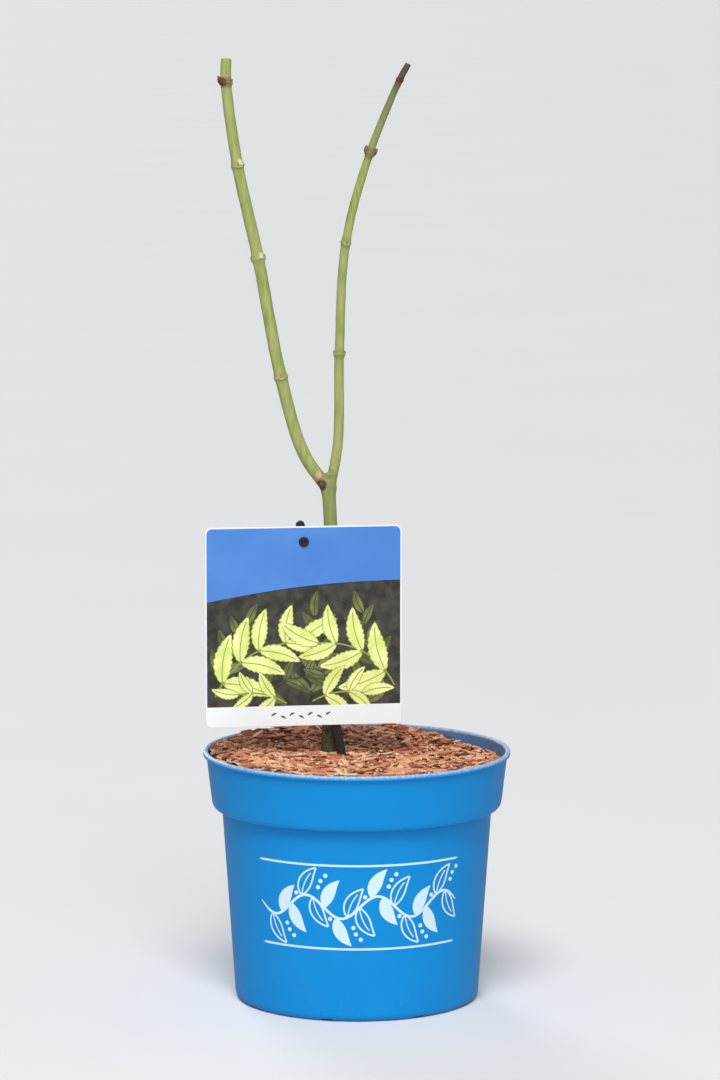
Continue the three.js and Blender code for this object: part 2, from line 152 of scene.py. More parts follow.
class Shade:
    """A socket in a material. Sums on it add Math nodes, and node() adds any other node."""

    def __init__(self, tree, socket=None):
        self.tree = tree
        self.socket = socket

    def node(self, kind, settings, values, output=0):
        made = self.tree.nodes.new(kind)
        for name, setting in settings.items():
            setattr(made, name, setting)
        feed(self.tree, made, values)
        return Shade(self.tree, made.outputs[output])

    def math(self, operation, *values):
        return self.node("ShaderNodeMath", {"operation": operation}, dict(enumerate(values)))

    def __add__(self, other):
        return self.math("ADD", self, other)

    def __sub__(self, other):
        return self.math("SUBTRACT", self, other)

    def __rsub__(self, other):
        return self.math("SUBTRACT", other, self)

    def __mul__(self, other):
        return self.math("MULTIPLY", self, other)

    __radd__ = __add__
    __rmul__ = __mul__

    def larger(self, other):
        return self.math("MAXIMUM", self, other)

    def rise(self, low, high):
        """0 below low, 1 above high, and a smooth rise between them."""
        limits = {"Value": self, "From Min": low, "From Max": high}
        return self.node("ShaderNodeMapRange", {"interpolation_type": "SMOOTHSTEP"}, limits)

    def blend(self, first, second):
        """The first colour or tone where this is 0 and the second where it is 1."""
        first, second = (c if isinstance(c, Shade) else paint(*c) for c in (first, second))
        colours = {"Factor": self, MIX_FIRST: first, MIX_SECOND: second}
        return self.node("ShaderNodeMix", {"data_type": "RGBA"}, colours, MIX_COLOUR)

    def stretched(self, x, y, z):
        return self.node("ShaderNodeVectorMath", {"operation": "MULTIPLY"}, {0: self, 1: (x, y, z)})

    def distance(self, point):
        return self.node("ShaderNodeVectorMath", {"operation": "DISTANCE"}, {0: self, 1: point}, "Value")

    def along(self, axis):
        return self.node("ShaderNodeSeparateXYZ", {}, {"Vector": self}, axis)

    def mottle(self, size, detail=3):
        """Soft noise from 0 to 1 with spots of about that size."""
        return self.node("ShaderNodeTexNoise", {}, {"Vector": self, "Scale": 1 / size, "Detail": detail})


def new_finish(name):
    """A material, and the place on the part at which it is looked up, in metres."""
    material = bpy.data.materials.new(name)
    material.use_nodes = True
    return material, Shade(material.node_tree).node("ShaderNodeTexCoord", {}, {}, "Object")


def set_finish(material, colour, roughness, height=None, depth=0, **even):
    """Colour, roughness and relief may vary over the surface. What even names is the same all over."""
    values = {name.replace("_", " "): value for name, value in even.items()}
    values |= {"Base Color": colour, "Roughness": roughness}
    if height is not None:
        bump = {"Height": height, "Distance": depth, "Strength": 1}
        values["Normal"] = height.node("ShaderNodeBump", {}, bump, "Normal")
    feed(material.node_tree, material.node_tree.nodes["Principled BSDF"], values)
    return material


def mesh_of(name, shape):
    """A mesh of a shape, which is a pair of corners and faces."""
    mesh = bpy.data.meshes.new(name)
    mesh.from_pydata(np.asarray(shape[0]).tolist(), [], shape[1])
    return mesh


def add_piece(name, shape, finish, replaced=(), crease=35):
    """A shape that rides with the part. Edges sharper than crease, in degrees, stay sharp."""
    piece = shown(name, mesh_of(name, shape))
    piece.data.materials.append(finish)
    piece.data.shade_smooth()
    piece.data.set_sharp_from_angle(angle=math.radians(crease))
    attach(piece, "root")
    if replaced:
        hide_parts(*replaced)
    return piece


def bent(corner, back, on):
    """A corner that is rounded from the step back from it to the step on from it."""
    t = np.linspace(0, 1, BEND_STEPS + 1)[:, None]
    return np.array(corner) + (1 - t) ** 2 * np.array(back) + t ** 2 * np.array(on)


def around(sides):
    """Even angles round a circle."""
    return np.arange(sides) * 2 * math.pi / sides


def tube_faces(rings, sides, pointed=False):
    """Faces of a tube whose corners come ring by ring. Its ends are flat, or each runs to a middle
    corner, and these two corners come last."""
    last = (rings - 1) * sides
    pairs = [(i, (i + 1) % sides) for i in range(sides)]
    faces = [
        (low + i, low + j, low + sides + j, low + sides + i)
        for low in range(0, last, sides)
        for i, j in pairs
    ]
    if pointed:
        foot, tip = last + sides, last + sides + 1
        return faces + [(foot, j, i) for i, j in pairs] + [(tip, last + i, last + j) for i, j in pairs]
    return faces + [tuple(reversed(range(sides))), tuple(range(last, last + sides))]


def turned(profile, sides):
    """The shape of a profile that runs from axis to axis, turned round the upright axis."""
    rings = np.array(profile[1:-1])
    x = rings[:, :1] * np.sin(around(sides))
    y = -rings[:, :1] * np.cos(around(sides))
    z = np.repeat(rings[:, 1:], sides, axis=1)
    corners = np.stack([x, y, z], axis=-1).reshape(-1, 3)
    corners = np.vstack([corners, (0, 0, profile[0][1]), (0, 0, profile[-1][1])])
    return corners, tube_faces(len(rings), sides, True)


def rod(radius, low, high, sides):
    return turned([(0, low), (radius, low), (radius, high), (0, high)], sides)


def moved(shape, spin, place=(0, 0, 0)):
    """A shape turned by spin and then carried to a place."""
    return np.asarray(shape[0]) @ np.array(spin).T + np.array(place), shape[1]


def box(size, centre):
    signs = np.array([(x, y, z) for x in (-1, 1) for y in (-1, 1) for z in (-1, 1)])
    faces = [(0, 1, 3, 2), (4, 6, 7, 5), (0, 4, 5, 1), (2, 3, 7, 6), (0, 2, 6, 4), (1, 5, 7, 3)]
    return signs * size / 2 + centre, faces


def joined(shapes):
    corners, faces = [], []
    for more_corners, more_faces in shapes:
        faces += [tuple(len(corners) + i for i in face) for face in more_faces]
        corners += [tuple(c) for c in more_corners]
    return corners, faces


def pot_skin(inset):
    """The pot's outer skin from foot to lip, or one that lies inset inside it."""
    rounding = FOOT_ROUNDING - min(inset, FOOT_ROUNDING - MM)
    foot_z = 0 if inset == 0 else FLOOR_TOP + (inset - POT_WALL)
    step_z = COLLAR_FOOT_Z + inset
    collar = COLLAR_FOOT_RADIUS - inset
    return [
        *bent((BODY_FOOT_RADIUS - inset, foot_z), (-rounding, 0), (0, rounding)),
        *bent((BODY_TOP_RADIUS - inset, step_z), (0, -EDGE_ROUNDING), (EDGE_ROUNDING, 0)),
        *bent((collar, step_z), (-COLLAR_ROUNDING / 2, 0), (COLLAR_FLARE, COLLAR_ROUNDING)),
    ]


def collar_radius(z):
    return np.interp(z, (COLLAR_FOOT_Z, POT_HEIGHT), (COLLAR_FOOT_RADIUS, COLLAR_TOP_RADIUS))


def body_radius(z):
    return np.interp(z, (FOOT_ROUNDING, COLLAR_FOOT_Z - EDGE_ROUNDING), (BODY_FOOT_RADIUS, BODY_TOP_RADIUS))


def pot_profile():
    half = EDGE_ROUNDING / 2
    lip_z = POT_HEIGHT - LIP_HEIGHT
    return [
        (0, GATE_DEPTH),
        *bent((GATE_RADIUS, GATE_DEPTH), (-half, 0), (0, -GATE_DEPTH)),
        *bent((PAD_RADIUS, 0), (-half, 0), (half, half)),
        *bent((PAD_RADIUS + half, FLOOR_LIFT), (0, -half), (half, 0)),
        *bent((RING_INNER_RADIUS - half, FLOOR_LIFT), (-2 * half, 0), (0, -half)),
        *bent((RING_INNER_RADIUS, 0), (-half, half), (half, 0)),
        *pot_skin(0),
        *bent((collar_radius(lip_z), lip_z), (0, -half), (POT_RADIUS - half - collar_radius(lip_z), 0)),
        *bent((POT_RADIUS, lip_z), (-half, 0), (0, half)),
        *bent((POT_RADIUS, POT_HEIGHT), (0, -LIP_ROUNDING), (-LIP_ROUNDING, 0)),
        *bent((POT_RADIUS - LIP_DEPTH, POT_HEIGHT), (LIP_ROUNDING, 0), (0, -LIP_ROUNDING)),
        *reversed(pot_skin(POT_WALL)),
        (0, FLOOR_TOP),
    ]


def final_mesh(thing):
    """The mesh of an object as its modifiers leave it."""
    return bpy.data.meshes.new_from_object(thing.evaluated_get(bpy.context.evaluated_depsgraph_get()))


def cut(piece, shape, operation):
    """Cuts or joins a closed shape from or to a piece, and keeps the result as its mesh."""
    tool = shown("tool", mesh_of("tool", shape))
    change = piece.modifiers.new("change", "BOOLEAN")
    change.operation = operation
    change.solver = "EXACT"
    change.object = tool
    result = final_mesh(piece)
    piece.modifiers.clear()
    piece.data = result
    bpy.data.objects.remove(tool)


def pot_finish():
    """Moulded polypropylene with a soft sheen, dusty near the foot, with a film of dried soil inside the
    collar, darkened further as painted shade, and a lip rubbed pale by handling and lightened as a painted
    highlight."""
    material, place = new_finish("pot_polypropylene")
    height = place.along("Z")
    dust = place.mottle(1.6 * MM, 6).rise(0.62, 0.74) * height.rise(DUST_TOP, 0)
    slope = (COLLAR_TOP_RADIUS - COLLAR_FOOT_RADIUS) / (POT_HEIGHT - COLLAR_FOOT_Z)
    from_axis = place.stretched(1, 1, 0).distance((0, 0, 0)) - slope * (height - COLLAR_FOOT_Z)
    inside = from_axis.rise(COLLAR_FOOT_RADIUS - 0.5 * MM, COLLAR_FOOT_RADIUS - 1.1 * MM)
    # Painted shade: the soil film darkens the inner wall of the collar for shade as well as for dried soil.
    soil_film_and_shade = inside * height.rise(SHADED_FILM_FOOT, SHADED_FILM_TOP)
    soil_film_and_shade *= 0.6 + 0.4 * place.mottle(4 * MM, 5).rise(0.35, 0.6)
    # Painted highlight: the pale rubbed lip also stands in for the highlight along the lip's top, as well as
    # wear.
    wear_and_highlight = height.rise(POT_HEIGHT - 2.2 * MM, POT_HEIGHT - 0.5 * MM)
    wear_and_highlight *= 0.45 + 0.55 * place.mottle(1.8 * MM, 5).rise(0.35, 0.6)
    colour = place.mottle(45 * MM).blend((0, 134, 208), (2, 142, 215))
    colour = (0.35 * dust).blend(colour, (110, 130, 145))
    colour = (0.85 * soil_film_and_shade).blend(colour, (96, 106, 134))
    colour = (0.62 * wear_and_highlight).blend(colour, (208, 218, 226))
    roughness = 0.27 + 0.1 * place.mottle(18 * MM, 6) + 0.3 * dust.larger(soil_film_and_shade) + 0.12 * wear_and_highlight
    relief = place.mottle(0.7 * MM) * 0.05 + place.mottle(30 * MM, 1)
    return set_finish(material, colour, roughness, relief, 0.25 * MM, Specular_IOR_Level=0.22)


pot_shape = turned(pot_profile(), POT_SEGMENTS)
pot = add_piece("pot_moulding", pot_shape, pot_finish(), ["pot"], crease=POT_CREASE)
drain, drain_faces = rod(DRAIN_RADIUS, -MM, 2 * FLOOR_TOP, DRAIN_SIDES)
drain = (drain + (DRAIN_CIRCLE, 0, 0), drain_faces)
channel = box(CHANNEL_SIZE, (RING_INNER_RADIUS + CHANNEL_SIZE[0] / 2 - CHANNEL_INSET, 0, 0))
rib_length = RING_INNER_RADIUS - PAD_RADIUS
rib = box((rib_length, RIB_WIDTH, FLOOR_LIFT), (PAD_RADIUS + rib_length / 2, 0, 0.8 * FLOOR_LIFT))
half = PARTING_WIDTH / 2
ridge = [
    (body_radius(z) + out, width, z)
    for z in (FOOT_ROUNDING, COLLAR_FOOT_Z / 2, COLLAR_FOOT_Z - MM)
    for out, width in ((-PARTING_SINK, -half), (PARTING_HEIGHT, 0), (-PARTING_SINK, half))
]
pot_cuts, pot_ribs = [], []
for turn in around(DRAIN_COUNT):
    here = Matrix.Rotation(turn + math.pi / DRAIN_COUNT, 3, "Z")
    pot_cuts += [moved(drain, here), moved(channel, here)]
    pot_ribs.append(moved(rib, Matrix.Rotation(turn + 2 * math.pi / DRAIN_COUNT, 3, "Z")))
for turn in around(2):
    pot_ribs.append(moved((ridge, tube_faces(3, 3)), Matrix.Rotation(turn, 3, "Z")))
cut(pot, joined(pot_cuts), "DIFFERENCE")
cut(pot, joined(pot_ribs), "UNION")
pot.data.set_sharp_from_angle(angle=math.radians(POT_CREASE))

# The printed band
# White screen-print ink on the front of the pot, turned a little towards the viewer: a garland of
# pointed leaves and berries between two thin lines.

BAND_CENTRE_Z = 72 * MM
BAND_TURN = math.radians(-7)
BAND_HALF_WIDTH = 66 * MM
BAND_HALF_HEIGHT = 26 * MM
BAND_LINE = 1.3 * MM
BAND_STEPS = 60
VINE_WIDTH = 1.6 * MM
VINE_SWING = 7 * MM
VINE_WAVE = 44 * MM
BAND_LEAVES = 17
BAND_LEAF_LENGTH = 20 * MM
BAND_LEAF_WIDTH = 8 * MM
BAND_LEAF_ANGLE = math.radians(62)
BERRIES = ((3.4, 6.6), (5, 10.6), (8, 14))
BERRY_RADIUS = 1.3 * MM
BERRY_GAP = 0.6 * MM
INK_LIFT = 0.12 * MM


def unit(rows):
    return rows / np.linalg.norm(rows, axis=1)[:, None]


def sideways(line):
    """Unit steps to the left of a flat line, at each of its points."""
    return unit(np.gradient(line, axis=0)) @ ((0, 1), (-1, 0))


def ribbon(line, half_widths, surface, lift, across=2):
    """A closed thin body along a flat line, bent onto a surface. Its back is sunk in that surface."""
    side = sideways(line) * np.broadcast_to(half_widths, len(line))[:, None]
    shares = np.linspace(1, -1, across + 1)
    corners = []
    for middle, step in zip(line, side):
        row = [middle + step * share for share in shares]
        corners += [surface(u, v, lift) for u, v in row] + [surface(u, v, -lift) for u, v in row[::-1]]
    sides = 2 * across + 2
    faces = tube_faces(len(line), sides)[:-2]
    for j in range(across):
        cap = (j, j + 1, sides - 2 - j, sides - 1 - j)
        faces += [cap[::-1], tuple(len(corners) - sides + i for i in cap)]
    return corners, faces


def on_pot(u, v, lift):
    """A point u round the pot from the band's middle and v above it."""
    z = BAND_CENTRE_Z + v
    radius = body_radius(z) + lift
    angle = BAND_TURN + u / body_radius(BAND_CENTRE_Z)
    return (radius * math.sin(angle), -radius * math.cos(angle), z)


def leaf_line(foot, angle, length, bow, steps=14):
    """The bowed midrib of a leaf from its foot to its tip."""
    t = np.linspace(0, 1, steps)
    out, side = t * length, 4 * bow * length * t * (1 - t)
    c, s = math.cos(angle), math.sin(angle)
    return np.column_stack([foot[0] + out * c - side * s, foot[1] + out * s + side * c])


def leaf_half_widths(width, steps=14):
    """A leaf's half width from foot to tip: round at the foot, widest before the middle, pointed."""
    t = np.linspace(0, 1, steps)
    return 0.5 * width * np.clip(np.sin(math.pi * t ** 0.8) ** 0.9, 0.03, 1)


def vine(u):
    return VINE_SWING * np.sin(2 * math.pi * u / VINE_WAVE)


printed, band_leaves, berries = [], [], []


def ink(line, half_widths, across=2):
    printed.append(ribbon(line, half_widths, on_pot, INK_LIFT, across))


band = np.linspace(-BAND_HALF_WIDTH, BAND_HALF_WIDTH, BAND_STEPS)
to_end = BAND_HALF_WIDTH - abs(band)
for v in (-BAND_HALF_HEIGHT, BAND_HALF_HEIGHT):
    ink(np.column_stack([band, 0 * band + v]), BAND_LINE / 2 * np.minimum(1, to_end / (3 * MM) + 0.25))
ink(np.column_stack([band, vine(band)]), VINE_WIDTH / 2 * np.minimum(1, to_end / (9 * MM) + 0.3))
half = leaf_half_widths(BAND_LEAF_WIDTH)
for i, u in enumerate(np.linspace(-1, 1, BAND_LEAVES) * (BAND_HALF_WIDTH - 9 * MM)):
    side = 1 if i % 2 else -1
    line = leaf_line((u, vine(u)), side * BAND_LEAF_ANGLE, BAND_LEAF_LENGTH, 0.1 * side)
    band_leaves.append(line)
    if i % 4 in (1, 2):
        ink(line, half, 4)
    else:
        for edge in (-1, 1):
            ink(line + sideways(line) * half[:, None] * edge, 0.5 * MM, 1)
        ink(line[:-3], 0.35 * MM, 1)
    berries += [(u + out * MM, vine(u) - side * up * MM) for out, up in BERRIES]
across = np.linspace(-1, 1, 11)
for berry in berries:
    gap = min((np.linalg.norm(line - berry, axis=1) - half).min() for line in band_leaves)
    if gap > BERRY_RADIUS + BERRY_GAP:
        dot = np.array(berry) + np.column_stack([BERRY_RADIUS * across, 0 * across])
        ink(dot, BERRY_RADIUS * np.sqrt(np.clip(1 - across ** 2, 0.02, 1)))
material, place = new_finish("white_ink")
worn = place.mottle(0.9 * MM, 5).rise(0.6, 0.75)
colour = (0.3 * worn).blend((208, 234, 247), (120, 184, 228))
set_finish(material, colour, 0.42 + 0.1 * worn, place.mottle(0.5 * MM), 0.02 * MM)
add_piece("pot_printed_band", joined(printed), material)

# The potting soil
# Moist dark compost that fills the pot under the bark. Little of it shows, through the drain holes.

material, place = new_finish("compost")
crumb = place.mottle(2.5 * MM, 6)
fibre = place.mottle(1.1 * MM, 2).rise(0.66, 0.72)
colour = (0.6 * fibre).blend(crumb.blend((28, 20, 15), (62, 44, 32)), (120, 92, 62))
set_finish(material, colour, 0.85 + 0.1 * crumb, crumb, 1.5 * MM)
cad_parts["potting_soil"].data.materials.clear()
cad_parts["potting_soil"].data.materials.append(material)

# The bark mulch
# A layer of shredded red-brown conifer bark, about 10 mm thick, strewn on the soil by hand: long torn
# shreds, broad flakes and crumbs of several colours, lying flat or tilted on each other.

mulch_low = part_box("bark_mulch")[0]
GROUND_Z = 152.2 * MM
GROUND_TILT = -0.6 * MM
GROUND_DISH = 1.6 * MM
GROUND_REACH = 90 * MM
GROUND_FALL = 0.14
GROUND_FALL_X = 38 * MM
GROUND_BUMP = 0.4 * MM
BED_DROP = 1.6 * MM
BED_RELIEF = 1.5 * MM
BED_RINGS = 44
BED_SIDES = 150
TRUNK_FOOT = (-16.6, 3, 151.2)
# Each kind: tone, count, lengths and widths in millimetres, and a lean that gathers it on the lit side
# (above 0) or the shaded side (below 0), as painted light and shade.
SHRED_KINDS = {
    "mulch_red_brown": ((200, 127, 92), 430, (7, 21), (2.4, 6.8), 0),
    "mulch_orange": ((226, 160, 118), 520, (6, 19), (2.2, 6.4), 0.1),
    "mulch_tan": ((234, 184, 146), 380, (5, 18), (1.8, 5.6), 0.2),
    "mulch_pale_splinters": ((240, 208, 176), 190, (4, 14), (1.2, 4.4), 0.5),
    "mulch_dark_red": ((158, 93, 67), 260, (6, 18), (2.4, 6.6), -0.3),
    "mulch_black_brown": ((92, 56, 43), 110, (5, 15), (2.0, 6.0), -0.4),
}
# Pale shreds are gathered towards this side and dark ones away from it, as painted light and shade on the
# bed.
PAINTED_LIGHT_SIDE = Vector((-0.35, -0.94, 0))
RIM_SHREDS = [(-88.6, -9, 84, 11), (-87.2, 3, 97, 13), (-84.5, -20, 70, 12), (-86, 16, 110, 10)]
RIM_SHRED_LIFT = 2.4 * MM
SHRED_RINGS = 6
SHRED_SIDES = 6
CRUMB_COUNT = 900
MULCH_SEED = 1931


def ground_height(x, y):
    """The height of the chip layer: nearly flush with the lip, and falling away at the right."""
    dish = GROUND_DISH * (np.hypot(x, y) / GROUND_REACH) ** 2
    fall = GROUND_FALL * max(0, x - GROUND_FALL_X)
    u, v = x / MM, y / MM
    bumps = GROUND_BUMP * (np.sin(u / 6.1 + v / 9.7) + np.cos(v / 5.3 - u / 11.9))
    return GROUND_Z + dish + GROUND_TILT * x / GROUND_REACH - fall + bumps


def shred(random, length, width, thickness):
    """A torn shred of bark: ridged lengthwise, bent, twisted, and ragged at both ends."""
    t = np.linspace(-0.5, 0.5, SHRED_RINGS)[:, None]
    angle = around(SHRED_SIDES) + random.uniform(0, 1)
    ridges = random.uniform(0.55, 1.15, SHRED_SIDES)
    body = 1 - (2 * abs(t)) ** random.uniform(2, 6) * random.uniform(0.35, 0.85)
    body = body * random.uniform(0.8, 1.15, (SHRED_RINGS, 1)) * ridges
    twist = angle + random.uniform(-0.7, 0.7) * t
    x = t * length + random.uniform(-0.07, 0.07, body.shape) * length * (abs(t) > 0.4)
    y = 0.5 * width * body * np.cos(twist) + random.uniform(-0.12, 0.12) * length * 4 * t ** 2
    z = 0.5 * thickness * body * np.sin(twist) + random.uniform(-0.06, 0.1) * length * 4 * t ** 2
    return np.stack([x, y, z], axis=-1).reshape(-1, 3), tube_faces(SHRED_RINGS, SHRED_SIDES)


def lay_down(random, shape, length, lift, lean):
    """Turns and tilts a shred and lays it on the bed, clear of the trunk and of the pot's wall. With lean
    above 0 more of them come to lie at the front right, and below 0 at the back left."""
    reach = collar_radius(GROUND_Z) - POT_WALL - 1.2 * MM
    radius = reach * math.sqrt(random.uniform(0, 1))
    bearing = random.uniform(0, 2 * math.pi)
    spot = Vector((radius * math.cos(bearing), radius * math.sin(bearing), 0))
    # Painted light and shade: a shred may be moved to the other side, so that pale kinds lie on the lit side
    # and dark kinds on the shaded side.
    if spot.dot(PAINTED_LIGHT_SIDE) * lean < 0 and random.uniform(0, 1) < abs(lean):
        bearing += math.pi
        spot = -spot
    turn = random.uniform(0, 2 * math.pi)
    if radius + length / 2 > reach:
        turn = bearing + math.pi / 2 + random.uniform(-0.25, 0.25)
        spot *= min(1, (reach - 1.5 * MM - length ** 2 / (8 * reach)) / radius)
    from_trunk = spot - Vector((*TRUNK_FOOT[:2], 0)) * MM
    if from_trunk.length < 7 * MM + length / 2:
        turn = math.atan2(from_trunk.y, from_trunk.x) + math.pi / 2
        spot += from_trunk.normalized() * max(0, 9 * MM - from_trunk.length)
    tilt = random.normal(0, 0.13)
    roll = random.normal(0, 0.3)
    spin = Matrix.Rotation(turn, 3, "Z") @ Matrix.Rotation(tilt, 3, "Y") @ Matrix.Rotation(roll, 3, "X")
    spot.z = ground_height(spot.x, spot.y) + lift
    return moved(shape, spin, spot)


def grained_finish(name, tones, size, detail, contrast, roughness, depth=None, **even):
    """A finish of a dark and a light tone in one soft grain, which may also vary the roughness, given
    as its lowest value and its swing, and stand out by a depth."""
    material, place = new_finish(name)
    grain = place.mottle(size, detail)
    colour = grain.rise(0.5 - contrast, 0.5 + contrast).blend(*tones)
    low, swing = roughness
    roughness = low + swing * grain if swing else low
    return set_finish(material, colour, roughness, grain if depth else None, depth, **even)


bed_edge = collar_radius(mulch_low.z) - POT_WALL - 0.3 * MM
profile = [(0, mulch_low.z), (bed_edge, mulch_low.z)]
profile += [(bed_edge * i / BED_RINGS, GROUND_Z) for i in range(BED_RINGS, -1, -1)]
bed = turned(profile, BED_SIDES)
for corner in bed[0]:
    if corner[2] > (mulch_low.z + GROUND_Z) / 2:
        x, y, _ = corner
        spot = Vector((x, y, 0)) / (3.2 * MM)
        rough = noise.noise(spot) + 0.6 * noise.noise(spot * 2.3)
        corner[2] = ground_height(x, y) - BED_DROP + BED_RELIEF * rough
material, place = new_finish("mulch_fines")
grain = place.mottle(1.3 * MM, 6)
light = place.mottle(2.2 * MM, 4).rise(0.5, 0.68)
colour = light.blend(grain.blend((96, 54, 40), (156, 94, 68)), (200, 136, 100))
set_finish(material, colour, 0.9, grain, 1.2 * MM, Specular_IOR_Level=0.25)
add_piece("mulch_bed", bed, material, ["bark_mulch"], crease=180)

random = np.random.default_rng(MULCH_SEED)
for name, (tone, count, lengths, widths, lean) in SHRED_KINDS.items():
    shreds = []
    for i in range(count + CRUMB_COUNT // len(SHRED_KINDS)):
        if i < count:
            length = random.uniform(*lengths) * random.uniform(0.7, 1) * MM
            width = min(random.uniform(*widths) * MM, 0.5 * length)
            thickness = width * random.uniform(0.22, 0.5)
        else:
            length = random.uniform(1.5, 4) * MM
            width = length * random.uniform(0.4, 0.8)
            thickness = width * random.uniform(0.4, 0.8)
        shape = shred(random, length, width, thickness)
        shreds.append(lay_down(random, shape, length, random.uniform(-1.2, 1.3) * MM, lean))
    if name == "mulch_dark_red":
        for x, y, turn, length in RIM_SHREDS:
            spot = (x * MM, y * MM, ground_height(x * MM, y * MM) + RIM_SHRED_LIFT)
            shape = shred(random, length * MM, 5 * MM, 2.2 * MM)
            shreds.append(moved(shape, Matrix.Rotation(math.radians(turn), 3, "Z"), spot))
    tones = ((*tone, 0.62), (*tone, 1.25))
    finish = grained_finish(name, tones, 0.8 * MM, 5, 0.25, (0.8, 0.15), 0.5 * MM)
    add_piece(name, joined(shreds), finish, crease=28)

# The rootstock
# The lower trunk is a seedling maple that the garden maple was grafted on. Its bark is thin, grey-brown
# and finely fissured, and it flares into the roots at the ground.

trunk_low, trunk_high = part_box("trunk")
TRUNK_ROUTE = [(-16.6, 3, 146.2), TRUNK_FOOT, (-15.4, 3.6, 225), (-15.6, 3.8, 290), (-17.4, 4, 323.5)]
TRUNK_RADII = (4.7 * MM, 4.1 * MM)
ROOT_FLARE = 1.9 * MM
ROOT_FLARE_HEIGHT = 5 * MM
ROOT_LOBES = 5
ROOT_LOBE_SHARE = 0.35
GRAFT_Z = 208 * MM
GRAFT_SLANT = 3.5 * MM
GRAFT_SWELL = 0.2
GRAFT_LENGTH = 7 * MM
ROOTSTOCK_TOP_Z = GRAFT_Z + 5 * MM
ROUTE_STEPS = 40
ROOTSTOCK_STEP, ROOTSTOCK_SIDES = 0.7 * MM, 72


def route(points):
    """A smooth line through points in millimetres, in metres, and how far along it each of them lies."""
    given = [Vector(point) * MM for point in points]
    given = [2 * given[0] - given[1], *given, 2 * given[-1] - given[-2]]
    line = []
    for before, start, end, after in zip(given, given[1:], given[2:], given[3:]):
        gap = [(b - a).length ** 0.5 for a, b in ((before, start), (start, end), (end, after))]
        step = (end - start) / gap[1]
        leave = ((start - before) / gap[0] - (end - before) / (gap[0] + gap[1]) + step) * gap[1]
        arrive = (step - (after - start) / (gap[1] + gap[2]) + (after - end) / gap[2]) * gap[1]
        square = 3 * (end - start) - 2 * leave - arrive
        cube = 2 * (start - end) + leave + arrive
        for t in np.arange(ROUTE_STEPS) / ROUTE_STEPS:
            line.append(start + leave * t + square * t ** 2 + cube * t ** 3)
    line = np.array([*line, given[-2]])
    along = np.concatenate([[0], np.cumsum(np.linalg.norm(np.diff(line, axis=0), axis=1))])
    return line, along, along[::ROUTE_STEPS]


def directions(line):
    """Along a line: its own direction, and the ones to its front and to its right, across it."""
    tangent = unit(np.gradient(line, axis=0))
    front = unit(np.array([0, -1, 0]) + tangent * tangent[:, 1:2])
    return tangent, front, np.cross(tangent, front)


def limb(points, radius_at, start, end, step, sides):
    """A closed tube along a route from start to end. radius_at(along, angle) gives its radius, and the
    angle is 0 at the front and grows to the right."""
    line, along, _ = route(points)
    stations = np.linspace(start, end, max(2, round((end - start) / step)))
    centre = np.column_stack([np.interp(stations, along, line[:, i]) for i in range(3)])
    _, front, right = directions(centre)
    angle = around(sides)
    radius = radius_at(stations[:, None], angle[None, :])[..., None]
    out = front[:, None] * np.cos(angle)[:, None] + right[:, None] * np.sin(angle)[:, None]
    corners = (centre[:, None] + radius * out).reshape(-1, 3)
    return np.vstack([corners, centre[0], centre[-1]]), tube_faces(len(stations), sides, True)


def trunk_taper(height):
    return np.interp(height, (0, trunk_high.z - trunk_low.z), TRUNK_RADII)


foot_at = (TRUNK_ROUTE[1][2] - TRUNK_ROUTE[0][2]) * MM
rootstock_end = foot_at + ROOTSTOCK_TOP_Z - trunk_low.z


def rootstock_radius(along, angle):
    height = along - foot_at
    lobes = 1 + ROOT_LOBE_SHARE * np.cos(ROOT_LOBES * angle)
    flare = ROOT_FLARE * lobes * np.exp(-height / ROOT_FLARE_HEIGHT)
    closing = np.clip((rootstock_end - along) / (3 * MM), 0.2, 1)
    return trunk_taper(height) * closing + flare


corners, faces = limb(TRUNK_ROUTE, rootstock_radius, foot_at, rootstock_end, ROOTSTOCK_STEP, ROOTSTOCK_SIDES)
middle = corners[:, :2].mean(axis=0)
for corner in corners[:-2]:
    out = Vector((*(corner[:2] - middle), 0)).normalized()
    spot = Vector((out.x * 9, out.y * 9, corner[2] / (7 * MM)))
    crack = abs(noise.noise(spot)) + 0.5 * abs(noise.noise(spot * 2.7))
    lump = noise.noise(Vector((out.x * 2, out.y * 2, corner[2] / (9 * MM))))
    corner += np.array(out) * ((0.5 - crack) * 0.35 * MM + lump * 0.25 * MM)
corners[:, 2] = np.maximum(corners[:, 2], trunk_low.z)
material, place = new_finish("rootstock_bark")
grain = place.stretched(1, 1, 0.25).mottle(0.9 * MM, 6)
lichen = place.mottle(2.4 * MM, 4).rise(0.62, 0.7)
damp = place.along("Z").rise(GROUND_Z + 16 * MM, GROUND_Z)
colour = grain.rise(0.3, 0.7).blend((50, 46, 34), (104, 98, 68))
colour = (0.5 * lichen).blend(colour, (138, 142, 112))
colour = (0.55 * damp).blend(colour, (40, 32, 24))
set_finish(material, colour, 0.7 + 0.2 * grain, grain, 0.5 * MM)
add_piece("rootstock", (corners, faces), material, ["trunk"], crease=60)

# The grafted stem and its two shoots
# The garden maple itself: a green stem above the graft, a knuckle with a pruned stub where it was cut
# back, and two shoots with a ring at each joint. The young bark is smooth, with fine streaks and pores.

